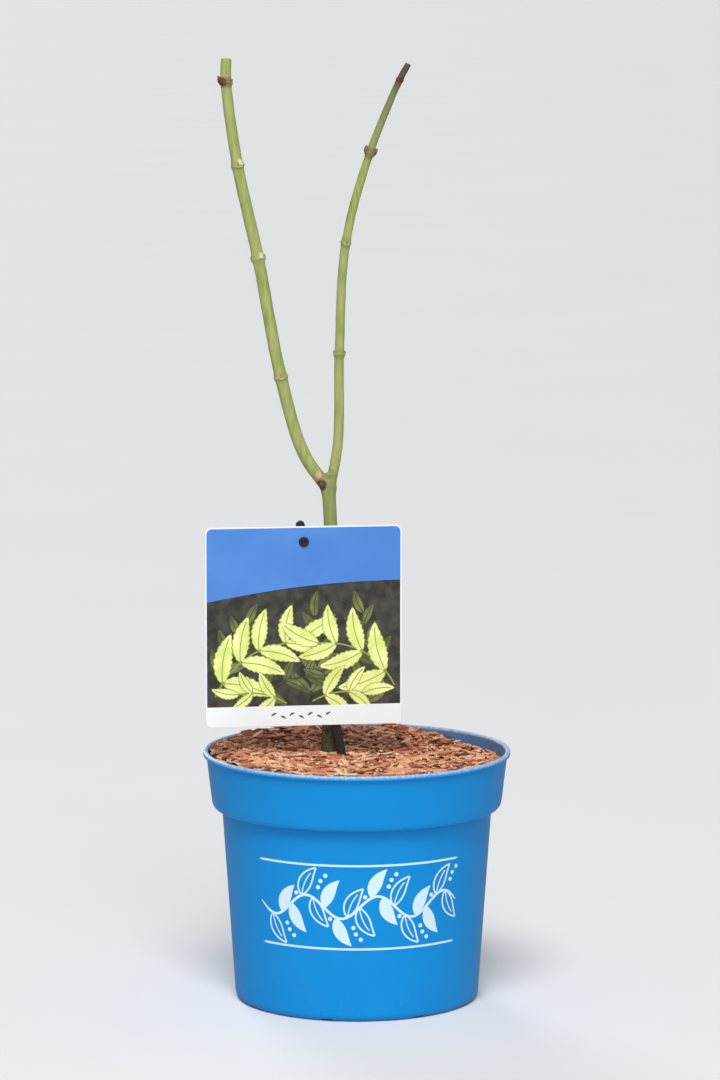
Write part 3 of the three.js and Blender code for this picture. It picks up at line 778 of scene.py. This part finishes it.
LEFT_ROUTE = [
    (-17.7, 4, 317.5), (-32.5, 4.3, 339.5),
    (-46.2, 5, 386.3), (-59.6, 8, 458.6), (-71.7, 11, 515.2), (-78.4, 13, 565.5),
    (-78.2, 13.5, 580),
]
RIGHT_ROUTE = [
    (-15.8, 4, 318), (-11.2, 3.4, 346),
    (-10.5, 2, 400.2), (-7, -2, 468.6), (7.1, -6, 522.9), (25, -9, 567.3),
    (30.1, -10, 577),
]
LEFT_RADII = (3.9 * MM, 3.2 * MM)
RIGHT_RADII = (3.2 * MM, 1.9 * MM)
STEM_STEP, STEM_SIDES = 0.8 * MM, 40
SHOOT_STEP, SHOOT_SIDES = 0.9 * MM, 32
SLOW_TAPER_SHARE = 0.7
SLOW_TAPER = 0.45
JOINT_SWELL = 0.2
JOINT_LENGTH = 1.9 * MM
FORK_SWELL = 0.26
FORK_LENGTH = 5 * MM
CROWN_ROUNDING = 3.2 * MM
STUB_RADIUS = 2 * MM
STUB_SIDES = 32
STUB_HEIGHT = 3.4 * MM
STUB_LEAN = 0.3
STUB_FOOT = Vector((-18, 2.6, 323.5)) * MM
CALLUS = Vector((-21.8, 0.9, 319.6)) * MM
CALLUS_RADIUS = 1.9 * MM
CALLUS_SIDES = 24
BARK_SPOTS = [
    (CALLUS / MM, 4.3, (82, 60, 40)),
    ((-23.4, 0.4, 326.2), 2.5, (190, 170, 132)),
    ((-80.8, 10.4, 565.8), 3.4, (88, 62, 40)),
    ((-58, 4.6, 461.2), 2.1, (208, 212, 160)),
    ((-70.4, 7.6, 517.6), 2.3, (208, 212, 160)),
]
JOINT_BROWN = (0.15, 0.15, 0.2, 0.75, 0.25, 0.2, 0.55, 0.4)
STEM_FADE = (340 * MM, 310 * MM)
GRAFT_FADE = (232 * MM, 205 * MM)
RIGHT_TOP_X = (-27 * MM, 21 * MM)
RIGHT_TOP_Z = (505 * MM, 560 * MM)
REMESH_VOXEL = 0.46 * MM
PORE_COUNT = 260
PORE_SIZE = np.array([0.45, 0.45, 0.8]) * MM
BARK_SEED = 77

_, trunk_along, trunk_marks = route(TRUNK_ROUTE)
trunk_end = trunk_along[-1]


def hump(x, width):
    """1 where x is 0, and softly down to 0 at about twice the width on both sides."""
    return np.exp(-((x / width) ** 2))


def shoot(points, radii):
    """A shoot's route, its radius at each place along it, where its joints are, and its length."""
    _, along, marks = route(points)
    foot, tip = radii
    bends = [0, along[-1] * SLOW_TAPER_SHARE, along[-1]]
    widths = [foot, foot + (tip - foot) * SLOW_TAPER, tip]
    joints = marks[2:-1]

    def radius_at(place, angle=0):
        swell = sum(JOINT_SWELL * hump(place - joint, JOINT_LENGTH) for joint in joints)
        return np.interp(place, bends, widths) * (1 + swell) + 0 * angle

    return points, radius_at, joints, along[-1]


def stem_radius(along, angle):
    """The stem above the graft: its foot grows out over the rootstock on a slant."""
    height = along - trunk_marks[1]
    graft = GRAFT_Z - trunk_low.z
    slant = np.cos(angle - 0.9)
    cover = np.clip((height - (graft - 6 * MM + GRAFT_SLANT * slant)) / (5 * MM), 0, 1)
    swell = GRAFT_SWELL * hump(height - graft, GRAFT_LENGTH) * (1 + 0.4 * slant)
    fork = FORK_SWELL * hump(along - trunk_end + 0.9 * FORK_LENGTH, FORK_LENGTH)
    to_crown = np.clip(0.95 + 0.95 * (along - trunk_end) / CROWN_ROUNDING, 0, 1)
    crown = np.sqrt(np.clip(1 - to_crown ** 2, 0, 1))
    return trunk_taper(height) * (0.72 + 0.28 * cover ** 0.5) * (1 + swell + fork) * crown


def wood_relief(mesh, limbs):
    """The corners of the wood, moved in and out: streaks along each limb, rings at its joints, pores."""
    corners = np.array([v.co for v in mesh.vertices])
    normals = np.array([n.vector for n in mesh.vertex_normals])
    count = len(corners)
    lines = [route(points) for points, _ in limbs]
    centres = np.vstack([line for line, _, _ in lines])
    owner = np.concatenate([np.full(len(line), i) for i, (line, _, _) in enumerate(lines)])
    places = np.concatenate([along for _, along, _ in lines])
    tangents = np.vstack([directions(line)[0] for line, _, _ in lines])
    tree = kdtree.KDTree(len(centres))
    for i, centre in enumerate(centres):
        tree.insert(centre, i)
    tree.balance()
    nearest = np.array([tree.find(corner)[1] for corner in corners])
    out = corners - centres[nearest]
    along = places[nearest] + (out * tangents[nearest]).sum(axis=1)
    angle = np.arctan2(out[:, 0], -out[:, 1])
    relief = np.zeros(count)
    for i, (s, a, k) in enumerate(zip(along, angle, owner[nearest])):
        streak = noise.noise(Vector((3.5 * math.cos(a), 3.5 * math.sin(a), s / (14 * MM) + 9 * k)))
        lump = noise.noise(Vector((math.cos(a), math.sin(a), s / (11 * MM) + 31 * k)))
        relief[i] = 0.09 * streak + 0.1 * lump
    for k, (_, joints) in enumerate(limbs):
        for joint in joints:
            gap = np.where(owner[nearest] == k, (along - joint) / MM, 99)
            relief += 0.2 * hump(gap, 0.5) - 0.16 * hump(gap - 1.1, 0.4) - 0.1 * hump(gap + 1.2, 0.5)
    near_fork = hump(np.linalg.norm(corners - np.array(STUB_FOOT), axis=1), 9 * MM)
    relief += 0.12 * near_fork * np.sin(corners[:, 2] / (0.55 * MM) + 2 * np.sin(angle))
    random = np.random.default_rng(BARK_SEED)
    for spot in corners[random.integers(0, count, PORE_COUNT)]:
        near = np.flatnonzero((abs(corners - spot) < 1.6 * MM).all(axis=1))
        relief[near] += 0.13 * hump(corners[near] - spot, PORE_SIZE).prod(axis=1)
    corners += normals * relief[:, None] * MM
    corners[:, 2] = np.minimum(corners[:, 2], cad_high.z)
    return corners


def young_bark_finish():
    """Green bark: faintly streaked, browner at some joints and at the thin tip, scarred at the fork."""
    material, place = new_finish("young_green_bark")
    height = place.along("Z")
    streak = place.stretched(1, 1, 0.12).mottle(1.7 * MM, 4)
    fleck = place.stretched(1, 1, 0.6).mottle(0.8 * MM, 3).rise(0.66, 0.72)
    patch = place.mottle(24 * MM, 2).rise(0.35, 0.7)
    right_top = place.along("X").rise(*RIGHT_TOP_X) * height.rise(*RIGHT_TOP_Z)
    right_tip = place.distance(Vector(RIGHT_ROUTE[-1]) * MM).rise(24 * MM, 7 * MM)
    coats = [
        (0.6 * patch, (166, 168, 112)),
        (0.5 * height.rise(*STEM_FADE), (124, 134, 84)),
        (0.8 * right_top, (108, 110, 72)),
        (right_tip, (82, 74, 50)),
        (0.7 * height.rise(*GRAFT_FADE), (92, 88, 54)),
    ]
    for joint, strength in zip((*LEFT_ROUTE[2:-1], *RIGHT_ROUTE[2:-1]), JOINT_BROWN):
        near = place.distance(Vector(joint) * MM).rise(5.4 * MM, 3.4 * MM)
        coats.append((near * (strength * (0.7 + 0.6 * streak)), (100, 82, 42)))
    crotch = place.distance(STUB_FOOT).rise(8 * MM, 4 * MM) * (0.2 + 0.5 * streak)
    coats.append((crotch, (124, 112, 66)))
    ragged = 2.5 * MM * (place.mottle(1.4 * MM) - 0.5)
    for spot, size, tone in BARK_SPOTS:
        coats.append(((place.distance(Vector(spot) * MM) + ragged).rise(size * MM, 0.6 * size * MM), tone))
    coats.append((0.45 * fleck, (196, 198, 152)))
    colour = streak.rise(0.3, 0.7).blend((130, 144, 70), (161, 172, 98))
    for mask, tone in coats:
        colour = mask.blend(colour, tone)
    return set_finish(material, colour, 0.5 + 0.2 * streak, streak, 0.2 * MM, Specular_IOR_Level=0.36)


shoots = [shoot(LEFT_ROUTE, LEFT_RADII), shoot(RIGHT_ROUTE, RIGHT_RADII)]
steps = np.linspace(0, math.pi, CALLUS_SIDES // 2 + 1)
callus = turned(CALLUS_RADIUS * np.column_stack([np.sin(steps), -np.cos(steps)]), CALLUS_SIDES)
stub = rod(STUB_RADIUS, -STUB_HEIGHT, STUB_HEIGHT, STUB_SIDES)
stem_start = GRAFT_Z - trunk_low.z - GRAFT_LENGTH
grown = [limb(TRUNK_ROUTE, stem_radius, stem_start, trunk_end, STEM_STEP, STEM_SIDES)]
for points, radius_at, _, length in shoots:
    grown.append(limb(points, radius_at, 0, length, SHOOT_STEP, SHOOT_SIDES))
grown.append(moved(callus, Matrix.Identity(3), CALLUS))
grown.append(moved(stub, Matrix.Rotation(STUB_LEAN, 3, "Y"), STUB_FOOT))
wood = shown("wood", mesh_of("wood", joined(grown)))
grow = wood.modifiers.new("grow", "REMESH")
grow.mode = "VOXEL"
grow.voxel_size = REMESH_VOXEL
ease = wood.modifiers.new("ease", "SMOOTH")
ease.factor = 0.5
ease.iterations = 4
skin = final_mesh(wood)
bpy.data.objects.remove(wood)
corners = wood_relief(skin, [(TRUNK_ROUTE, []), *((points, joints) for points, _, joints, _ in shoots)])
faces = [tuple(p.vertices) for p in skin.polygons]
replaced = ["trunk", "left_shoot", "right_shoot"]
add_piece("stem_and_shoots", (corners, faces), young_bark_finish(), replaced, crease=180)
bpy.data.meshes.remove(skin)

# Buds, leaf scars and cut faces
# Two buds stand opposite each other at each joint, each pair across the last one, over the pale scar of
# the leaf that fell. The left shoot and the stub end in a clean cut with pith in its middle.

BUD_LENGTH = 4.6 * MM
BUD_RADIUS = 1.5 * MM
BUD_LEAN = 0.42
BUD_SINK = 0.92
FULL_BUD_STEM_RADIUS = 3 * MM
LOW_BUD_SHARE = 0.6
TOP_BUD_SHARE = 1.2
BUD_SIDES = 20
BUD_RINGS = 14
SCAR_SPREAD = math.radians(58)
SCAR_RINGS = 15
SCAR_SIDES = 6
CUT_SIDES = 36
BUD_TONES = {
    "green_buds": ((126, 112, 66), (168, 162, 100)),
    "brown_buds": ((84, 72, 40), (116, 108, 60)),
    "dark_buds": ((54, 34, 27), (98, 66, 46)),
    "leaf_scars": ((140, 138, 84), (184, 184, 128)),
}
LEFT_BUDS = (("green_buds", "green_buds"),) * 3 + (("dark_buds", "green_buds"),)
RIGHT_BUDS = (("green_buds",) * 2,) * 2 + (("brown_buds",) * 2, ("dark_buds",) * 2)


def upright_to(axis):
    return Vector((0, 0, 1)).rotation_difference(axis).to_matrix()


def bud(seat, axis, size):
    """A pointed bud with two pairs of crossed scales."""
    t = np.linspace(0, 1, BUD_RINGS + 1)[:, None]
    angle = around(BUD_SIDES)[None, :]
    profile = np.maximum(np.sin(math.pi * (0.08 + 0.92 * t) ** 0.85), 0.008) ** 0.75
    edge = 0.36 + 0.14 * np.cos(2 * angle)
    upper = 0.66 + 0.12 * np.sin(2 * angle)
    radius = BUD_RADIUS * size * profile * (1 + 0.1 * (t < edge) + 0.07 * (t < upper)) / 1.17
    z = (t - 0.5) * BUD_LENGTH * size + 0 * radius
    corners = np.stack([radius * np.cos(angle), radius * np.sin(angle), z], axis=-1).reshape(-1, 3)
    return moved((corners, tube_faces(BUD_RINGS + 1, BUD_SIDES)), upright_to(axis), seat)


def scar(centre, tangent, outward, radius):
    """A crescent ridge round a third of the stem, thickest below the bud."""
    side = tangent.cross(outward)
    corners = []
    for a in np.linspace(-SCAR_SPREAD, SCAR_SPREAD, SCAR_RINGS):
        share = math.cos(a / SCAR_SPREAD * math.pi / 2)
        out = outward * math.cos(a) + side * math.sin(a)
        middle = centre + out * (radius + 0.05 * MM) - tangent * (0.9 * MM * share)
        for b in around(SCAR_SIDES):
            swing = out * math.cos(b) * 0.25 + tangent * math.sin(b) * 0.65
            corners.append(middle + swing * (0.15 + 0.85 * share) * MM)
    return corners, [face[::-1] for face in tube_faces(SCAR_RINGS, SCAR_SIDES)]


groups = {name: [] for name in BUD_TONES}
for (points, radius_at, joints, _), kinds, first_pair in zip(shoots, (LEFT_BUDS, RIGHT_BUDS), (0, 1)):
    line, along, _ = route(points)
    tangents = directions(line)[0]
    for index, joint in enumerate(joints):
        near = np.argmin(abs(along - joint))
        centre, tangent = Vector(line[near]), Vector(tangents[near])
        across = Vector((0, 1, 0)) if (index + first_pair) % 2 == 0 else Vector((1, 0, 0))
        across = (across - tangent * across.dot(tangent)).normalized()
        radius = float(radius_at(joint))
        for outward, kind in zip((-across, across), kinds[index]):
            is_low = kind == "green_buds"
            share = min(1, radius / FULL_BUD_STEM_RADIUS) * (LOW_BUD_SHARE if is_low else TOP_BUD_SHARE)
            seat = centre + outward * radius * BUD_SINK + tangent * BUD_LENGTH * share / 3
            groups[kind].append(bud(seat, (tangent + outward * BUD_LEAN).normalized(), share))
            groups["leaf_scars" if is_low else kind].append(scar(centre, tangent, outward, radius))
for name, tones in BUD_TONES.items():
    finish = grained_finish(name + "_skin", tones, 0.9 * MM, 4, 0.15, (0.5, 0.2), 0.15 * MM)
    add_piece(name, joined(groups[name]), finish, crease=50)


def cut_face(radius):
    """A slightly dished cut: a rim of bark, wood, and pith in the middle."""
    rim = [(1, -0.5), (1, 0.1), (0.86, 0.28), (0.7, 0.1), (0.3, 0.04), (0.22, -0.12)]
    face = [(share * radius, z * MM) for share, z in rim]
    return turned([(0, -0.5 * MM), *face, (0, -0.15 * MM)], CUT_SIDES)


line = route(LEFT_ROUTE)[0]
tip_axis = Vector(directions(line)[0][-1])
tip_place = Vector(line[-1]) - tip_axis * 0.4 * MM
stub_axis = Vector((math.sin(STUB_LEAN), 0, math.cos(STUB_LEAN)))
stub_place = STUB_FOOT + stub_axis * (STUB_HEIGHT - 0.1 * MM)
for name, place, axis, radius, tones in (
    ("tip_cut", tip_place, tip_axis, 0.84 * LEFT_RADII[1], ((130, 118, 76), (180, 176, 124))),
    ("stub_cut", stub_place, stub_axis, 0.86 * STUB_RADIUS, ((172, 120, 92), (226, 184, 160))),
):
    finish = grained_finish(name + "_wood", tones, 0.6 * MM, 5, 0.15, (0.8, 0), 0.2 * MM)
    add_piece(name, moved(cut_face(radius), upright_to(axis), place), finish, crease=40)

# The picture label
# A square of white polypropylene sheet with rounded corners and a punched hole, printed to the edge: a
# blue field over a dark one with leafy sprigs, and a white strip with a row of small leaf marks.

card_low, card_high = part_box("label_card")
CARD_WIDTH, CARD_THICKNESS, CARD_HEIGHT = card_high - card_low
CARD_CORNER = 4 * MM
CARD_HOLE_RADIUS = 2.5 * MM
CARD_HOLE_SIDES = 32
CARD_BEVEL = 0.12 * MM
PEG = Vector((-34.3, -8, 286.4)) * MM
SKY_DEPTH_LEFT = 46 * MM
SKY_DEPTH_RIGHT = 34 * MM
SKY_BOW = 3 * MM
NIGHT_DEPTH = 20 * MM
STRIP_HEIGHT = 12.5 * MM
STRIP_MARGIN = 0.15 * MM
PRINT_MARGIN = 0.9 * MM
PRINT_LIFT = 0.05 * MM
BACK_SPRIGS = [
    ((10, 26), 66, 40, 0.1, 3, 19), ((62, 14), 84, 54, -0.1, 4, 20), ((112, 34), 112, 38, 0.1, 3, 19),
    ((30, 14), 20, 44, 0.15, 3, 18), ((117, 15), 160, 46, -0.15, 3, 18),
]
FRONT_SPRIGS = [
    ((6, 19), 32, 62, 0.16, 4, 34), ((117, 24), 150, 54, -0.16, 3, 35), ((66, 15), 8, 31, 0.1, 2, 26),
    ((50, 14), 168, 30, -0.1, 2, 22),
]
OLIVE = ((84, 90, 52), (132, 136, 78), (66, 70, 44))
LIME = ((218, 230, 126), (242, 248, 168), (150, 162, 76))
LEAF_STEPS = 26
STALK_STEPS = 24
LEAF_SLIMNESS = 0.34
LEAF_EDGE = 0.45 * MM
LEAF_SPREAD = math.radians(48)
PRINT_STEP = 0.002 * MM
LOWEST_LEAF_LEVEL = 27
MARK_COUNT = 7
MARK_GAP = 5.6 * MM
FACING_FRONT = Matrix.Rotation(math.pi / 2, 3, "X")


def arc(radius, angles):
    return radius * np.column_stack([np.cos(angles), np.sin(angles)])


def rounded_outline(left, bottom, right, top, low_corner=0, high_corner=0):
    """The outline of a rectangle with rounded corners, or sharp ones where their radius is 0."""
    outline = []
    for x, y, start, radius in (
        (left, bottom, 180, low_corner), (right, bottom, 270, low_corner),
        (right, top, 0, high_corner), (left, top, 90, high_corner),
    ):
        middle = (x + radius if x == left else x - radius, y + radius if y == bottom else y - radius)
        outline += [*arc(radius, np.radians(start + np.linspace(0, 90, 9 if radius else 1))) + middle]
    return outline


def plate(outlines, thickness, bevel, origin):
    """An upright plate cut to outlines, with the holes among them left open. Its front face lies at the
    origin's depth."""
    curve = bpy.data.curves.new("plate", "CURVE")
    curve.dimensions = "2D"
    curve.fill_mode = "BOTH"
    curve.extrude = max(thickness / 2 - bevel, 0)
    curve.bevel_depth = bevel
    curve.bevel_resolution = 2
    curve.offset = -bevel
    for outline in outlines:
        spline = curve.splines.new("POLY")
        spline.points.add(len(outline) - 1)
        spline.use_cyclic_u = True
        for point, (x, y) in zip(spline.points, outline):
            point.co = (x, y, 0, 1)
    made = shown("plate", curve)
    mesh = final_mesh(made)
    corners = np.array([v.co for v in mesh.vertices]) - (0, 0, thickness / 2)
    faces = [tuple(p.vertices) for p in mesh.polygons]
    bpy.data.objects.remove(made)
    bpy.data.curves.remove(curve)
    bpy.data.meshes.remove(mesh)
    return moved((corners, faces), FACING_FRONT, origin)


def on_card(u, v, lift):
    """A point of the card's face, u from its left edge and v from its lower edge."""
    return (card_low.x + u, card_low.y - lift, card_low.z + v)


def printed_leaf(foot, angle, length, level):
    """A pointed leaf with a toothed edge: its blade, and its darker outline and middle rib."""
    lift = level * PRINT_STEP
    line = leaf_line(foot, angle, length, 0.07, LEAF_STEPS)
    teeth = 1 + 0.08 * ((np.arange(LEAF_STEPS) % 3) - 1)
    half = leaf_half_widths(LEAF_SLIMNESS * length, LEAF_STEPS) * teeth
    edge = LEAF_EDGE * np.clip(5 * (1 - np.linspace(0, 1, LEAF_STEPS)), 0, 1)
    outline = ribbon(line, half + edge, on_card, lift, 1)
    blade = ribbon(line[1:-1], half[1:-1], on_card, lift + PRINT_STEP, 1)
    rib = ribbon(line[1:-3], 0.28 * MM, on_card, lift + 2 * PRINT_STEP, 1)
    return blade, [outline, rib]


def sprig(foot, degrees, length, bow, pairs, leaf_length, level):
    """A bowed stalk with pairs of leaves and one at its tip, in millimetres, and the level above them."""
    angle = math.radians(degrees)
    stalk = leaf_line(np.array(foot) * MM, angle, length * MM, bow, STALK_STEPS)
    blades, lines = [], [ribbon(stalk, 0.5 * MM, on_card, level * PRINT_STEP, 1)]
    leaves = [(level + 1, stalk[-1], angle, 0.8 * leaf_length * MM)]
    for pair in range(1, pairs + 1):
        at = stalk[round((STALK_STEPS - 1) * (pair - 0.5) / pairs)]
        size = leaf_length * (1 - 0.28 * pair / pairs) * MM
        for side, step in ((-1, 1), (1, 1.5)):
            leaves.append((level + step + 3 * pair, at, angle + side * LEAF_SPREAD, size))
    for leaf_level, leaf_foot, leaf_angle, size in leaves:
        blade, drawn = printed_leaf(leaf_foot, leaf_angle, size, leaf_level)
        blades.append(blade)
        lines += drawn
    return blades, lines, level + 5 + 3 * pairs


def print_finish(name, dark, light, size=6 * MM):
    """Glossy offset print: an even colour with a faint soft shading in it."""
    return grained_finish(name, (dark, light), size, 3, 0.2, (0.3, 0.08), Coat_Weight=0.2)


def add_print(name, shape, finish):
    add_piece(name, shape, finish, crease=40)


peg_hole = arc(CARD_HOLE_RADIUS, around(CARD_HOLE_SIDES)) + (PEG.x - card_low.x, PEG.z - card_low.z)
whole = rounded_outline(0, 0, CARD_WIDTH, CARD_HEIGHT, CARD_CORNER, CARD_CORNER)
white = print_finish("label_white", (234, 239, 244), (240, 244, 248), 30 * MM)
sheet = plate([whole, peg_hole], CARD_THICKNESS, CARD_BEVEL, card_low)
add_piece("label_sheet", sheet, white, ["label_card"], crease=40)
left, right, top = PRINT_MARGIN, CARD_WIDTH - PRINT_MARGIN, CARD_HEIGHT - PRINT_MARGIN
night = rounded_outline(left, STRIP_HEIGHT, right, CARD_HEIGHT - NIGHT_DEPTH)
low = CARD_HEIGHT - SKY_DEPTH_LEFT
rise = SKY_DEPTH_LEFT - SKY_DEPTH_RIGHT
sky = rounded_outline(left, low, right, top, 0, CARD_CORNER - PRINT_MARGIN)
sky[1:2] = [
    (left + (right - left) * t, low + rise * t + SKY_BOW * math.sin(math.pi * t))
    for t in np.linspace(0, 1, 24)[1:]
]
strip_right = CARD_WIDTH - STRIP_MARGIN
strip = rounded_outline(STRIP_MARGIN, STRIP_MARGIN, strip_right, STRIP_HEIGHT, CARD_CORNER - STRIP_MARGIN)
dark_ink = print_finish("label_dark_ink", (46, 44, 42), (76, 72, 64))
blue_ink = print_finish("label_blue_ink", (70, 128, 209), (80, 137, 216), 40 * MM)
for name, outlines, level, finish in (
    ("label_dark_field", [night], 1, dark_ink),
    ("label_blue_field", [sky, peg_hole], 7, blue_ink),
    ("label_white_strip", [strip], 7, white),
):
    front = card_low - Vector((0, level * PRINT_LIFT, 0))
    add_print(name, plate(outlines, 2 * level * PRINT_LIFT, 0, front), finish)
level = LOWEST_LEAF_LEVEL
for name, sprigs, (dark, light, line_tone) in (
    ("label_back_leaves", BACK_SPRIGS, OLIVE), ("label_front_leaves", FRONT_SPRIGS, LIME),
):
    blades, lines = [], []
    for settings in sprigs:
        more_blades, more_lines, level = sprig(*settings, level)
        blades += more_blades
        lines += more_lines
    add_print(name, joined(blades), print_finish(name + "_ink", dark, light, 9 * MM))
    name = name.replace("leaves", "leaf_lines")
    add_print(name, joined(lines), print_finish(name + "_ink", line_tone, line_tone))
marks = []
for i in range(MARK_COUNT):
    foot = (CARD_WIDTH / 2 + (i - 3.6) * MARK_GAP, 0.5 * STRIP_HEIGHT)
    line = leaf_line(foot, 0.5 * (-1) ** i, 4 * MM, 0.1, 8)
    marks.append(ribbon(line, leaf_half_widths(1.3 * MM, 8), on_card, 8 * PRINT_LIFT, 1))
add_print("label_small_marks", joined(marks), print_finish("label_grey_ink", (80, 80, 84), (96, 96, 100)))

# The label stick
# A flat black stick with a rib down its back, moulded in polypropylene and pushed into the soil beside
# the trunk. The card is buttoned onto its headed peg.

STICK_WIDTH = 5.4 * MM
STICK_THICKNESS = 2.4 * MM
STICK_ABOVE_PEG = 13 * MM
STICK_BELOW_PEG = 190 * MM
STICK_POINT = 16 * MM
STICK_TIP_WIDTH = 1.6 * MM
STICK_LEAN = math.radians(10.1)
STICK_BEVEL = 0.45 * MM
RIB_SIZE = (1.6 * MM, 1.4 * MM)
RIB_BEVEL = 0.25 * MM
PEG_RADIUS = 1.8 * MM
PEG_SIDES = 40
PEG_HEAD_RADIUS = 3.1 * MM
PEG_HEAD_THICKNESS = 1.2 * MM
PEG_GAP = 0.3 * MM

half, half_tip = STICK_WIDTH / 2, STICK_TIP_WIDTH / 2
point_top = STICK_POINT - STICK_BELOW_PEG
outline = [
    (-half, point_top), (-half_tip, -STICK_BELOW_PEG), (half_tip, -STICK_BELOW_PEG), (half, point_top),
    *arc(half, np.linspace(0, math.pi, 17)) + (0, STICK_ABOVE_PEG - half),
]
bar = plate([outline], STICK_THICKNESS, STICK_BEVEL, (0, -STICK_THICKNESS / 2, 0))
rib_outline = rounded_outline(-RIB_SIZE[0] / 2, point_top, RIB_SIZE[0] / 2, 0)
rib = plate([rib_outline], RIB_SIZE[1] + STICK_THICKNESS / 2, RIB_BEVEL, (0, 0, 0))
shank = STICK_THICKNESS / 2 + CARD_THICKNESS + 2 * PEG_GAP
end = shank + PEG_HEAD_THICKNESS
peg = turned([
    (0, 0), (PEG_RADIUS, 0),
    *bent((PEG_RADIUS, shank), (0, -0.2 * MM), (0.2 * MM, 0)),
    *bent((PEG_HEAD_RADIUS, shank), (-0.3 * MM, 0), (0, 0.3 * MM)),
    *bent((PEG_HEAD_RADIUS, end), (0, -0.5 * MM), (-0.6 * MM, 0)),
    *bent((1.2 * MM, end), (0.3 * MM, 0), (-0.2 * MM, -0.4 * MM)),
    (0, end - 0.4 * MM),
], PEG_SIDES)
stick = moved(joined([bar, rib, moved(peg, FACING_FRONT)]), Matrix.Rotation(-STICK_LEAN, 3, "Y"), PEG)
material, place = new_finish("black_polypropylene")
scuff = place.stretched(1, 1, 0.2).mottle(1.2 * MM, 5)
low = place.along("Z").rise(GROUND_Z + 12 * MM, GROUND_Z)
dust = low * place.mottle(1.5 * MM, 5).rise(0.56, 0.72)
colour = (0.4 * dust).blend(scuff.blend((12, 13, 14), (30, 32, 34)), (96, 70, 54))
set_finish(material, colour, 0.38 + 0.2 * scuff, scuff, 0.08 * MM)
add_piece("stick_moulding", stick, material, ["label_stick"])

# The studio
# A wide pale floor under a soft white sky, with a broad key light from the front left above, a soft box
# in front, and a low light from behind that edges the rim and the shoots. The floor isn't mirrored.

FLOOR_RADIUS = 60
FLOOR_SIDES = 64
SKY_COLOUR = (0.94, 0.97, 1, 1)
SKY_STRENGTH = 0.28
SUNS = {"key": (2.45, 26, (34, -5, -6)), "back_light": (1, 22, (-73, 0, 12))}
SUN_COLOUR = (1, 0.99, 0.975)
SOFT_BOX_SIZE = (0.9, 1.4)
SOFT_BOX_ENERGY = 12.5
SOFT_BOX_PLACE = (0.1, -2, 1.2)
SOFT_BOX_TARGET = (0, 0, 0.2)

circle = np.pad(arc(FLOOR_RADIUS, around(FLOOR_SIDES)), ((0, 0), (0, 1)))
floor = shown("floor", mesh_of("floor", (circle, [tuple(range(FLOOR_SIDES))])))
material, place = new_finish("pale_floor")
colour = place.mottle(0.4).blend((220, 221, 223), (224, 225, 227))
floor.data.materials.append(set_finish(material, colour, 0.8, Specular_IOR_Level=0.2))
floor.visible_glossy = False
world = bpy.data.worlds.new("studio")
world.use_nodes = True
background = {"Color": SKY_COLOUR, "Strength": SKY_STRENGTH}
feed(world.node_tree, world.node_tree.nodes["Background"], background)
bpy.context.scene.world = world
for name, (energy, spread, turn) in SUNS.items():
    sun = shown(name, bpy.data.lights.new(name, "SUN"))
    sun.data.energy = energy
    sun.data.angle = math.radians(spread)
    sun.data.color = SUN_COLOUR
    sun.rotation_euler = [math.radians(a) for a in turn]
soft_box = shown("soft_box", bpy.data.lights.new("soft_box", "AREA"))
soft_box.data.shape = "RECTANGLE"
soft_box.data.size, soft_box.data.size_y = SOFT_BOX_SIZE
soft_box.data.energy = SOFT_BOX_ENERGY
aim(soft_box, SOFT_BOX_PLACE, SOFT_BOX_TARGET)
bpy.context.scene.view_settings.view_transform = "Standard"
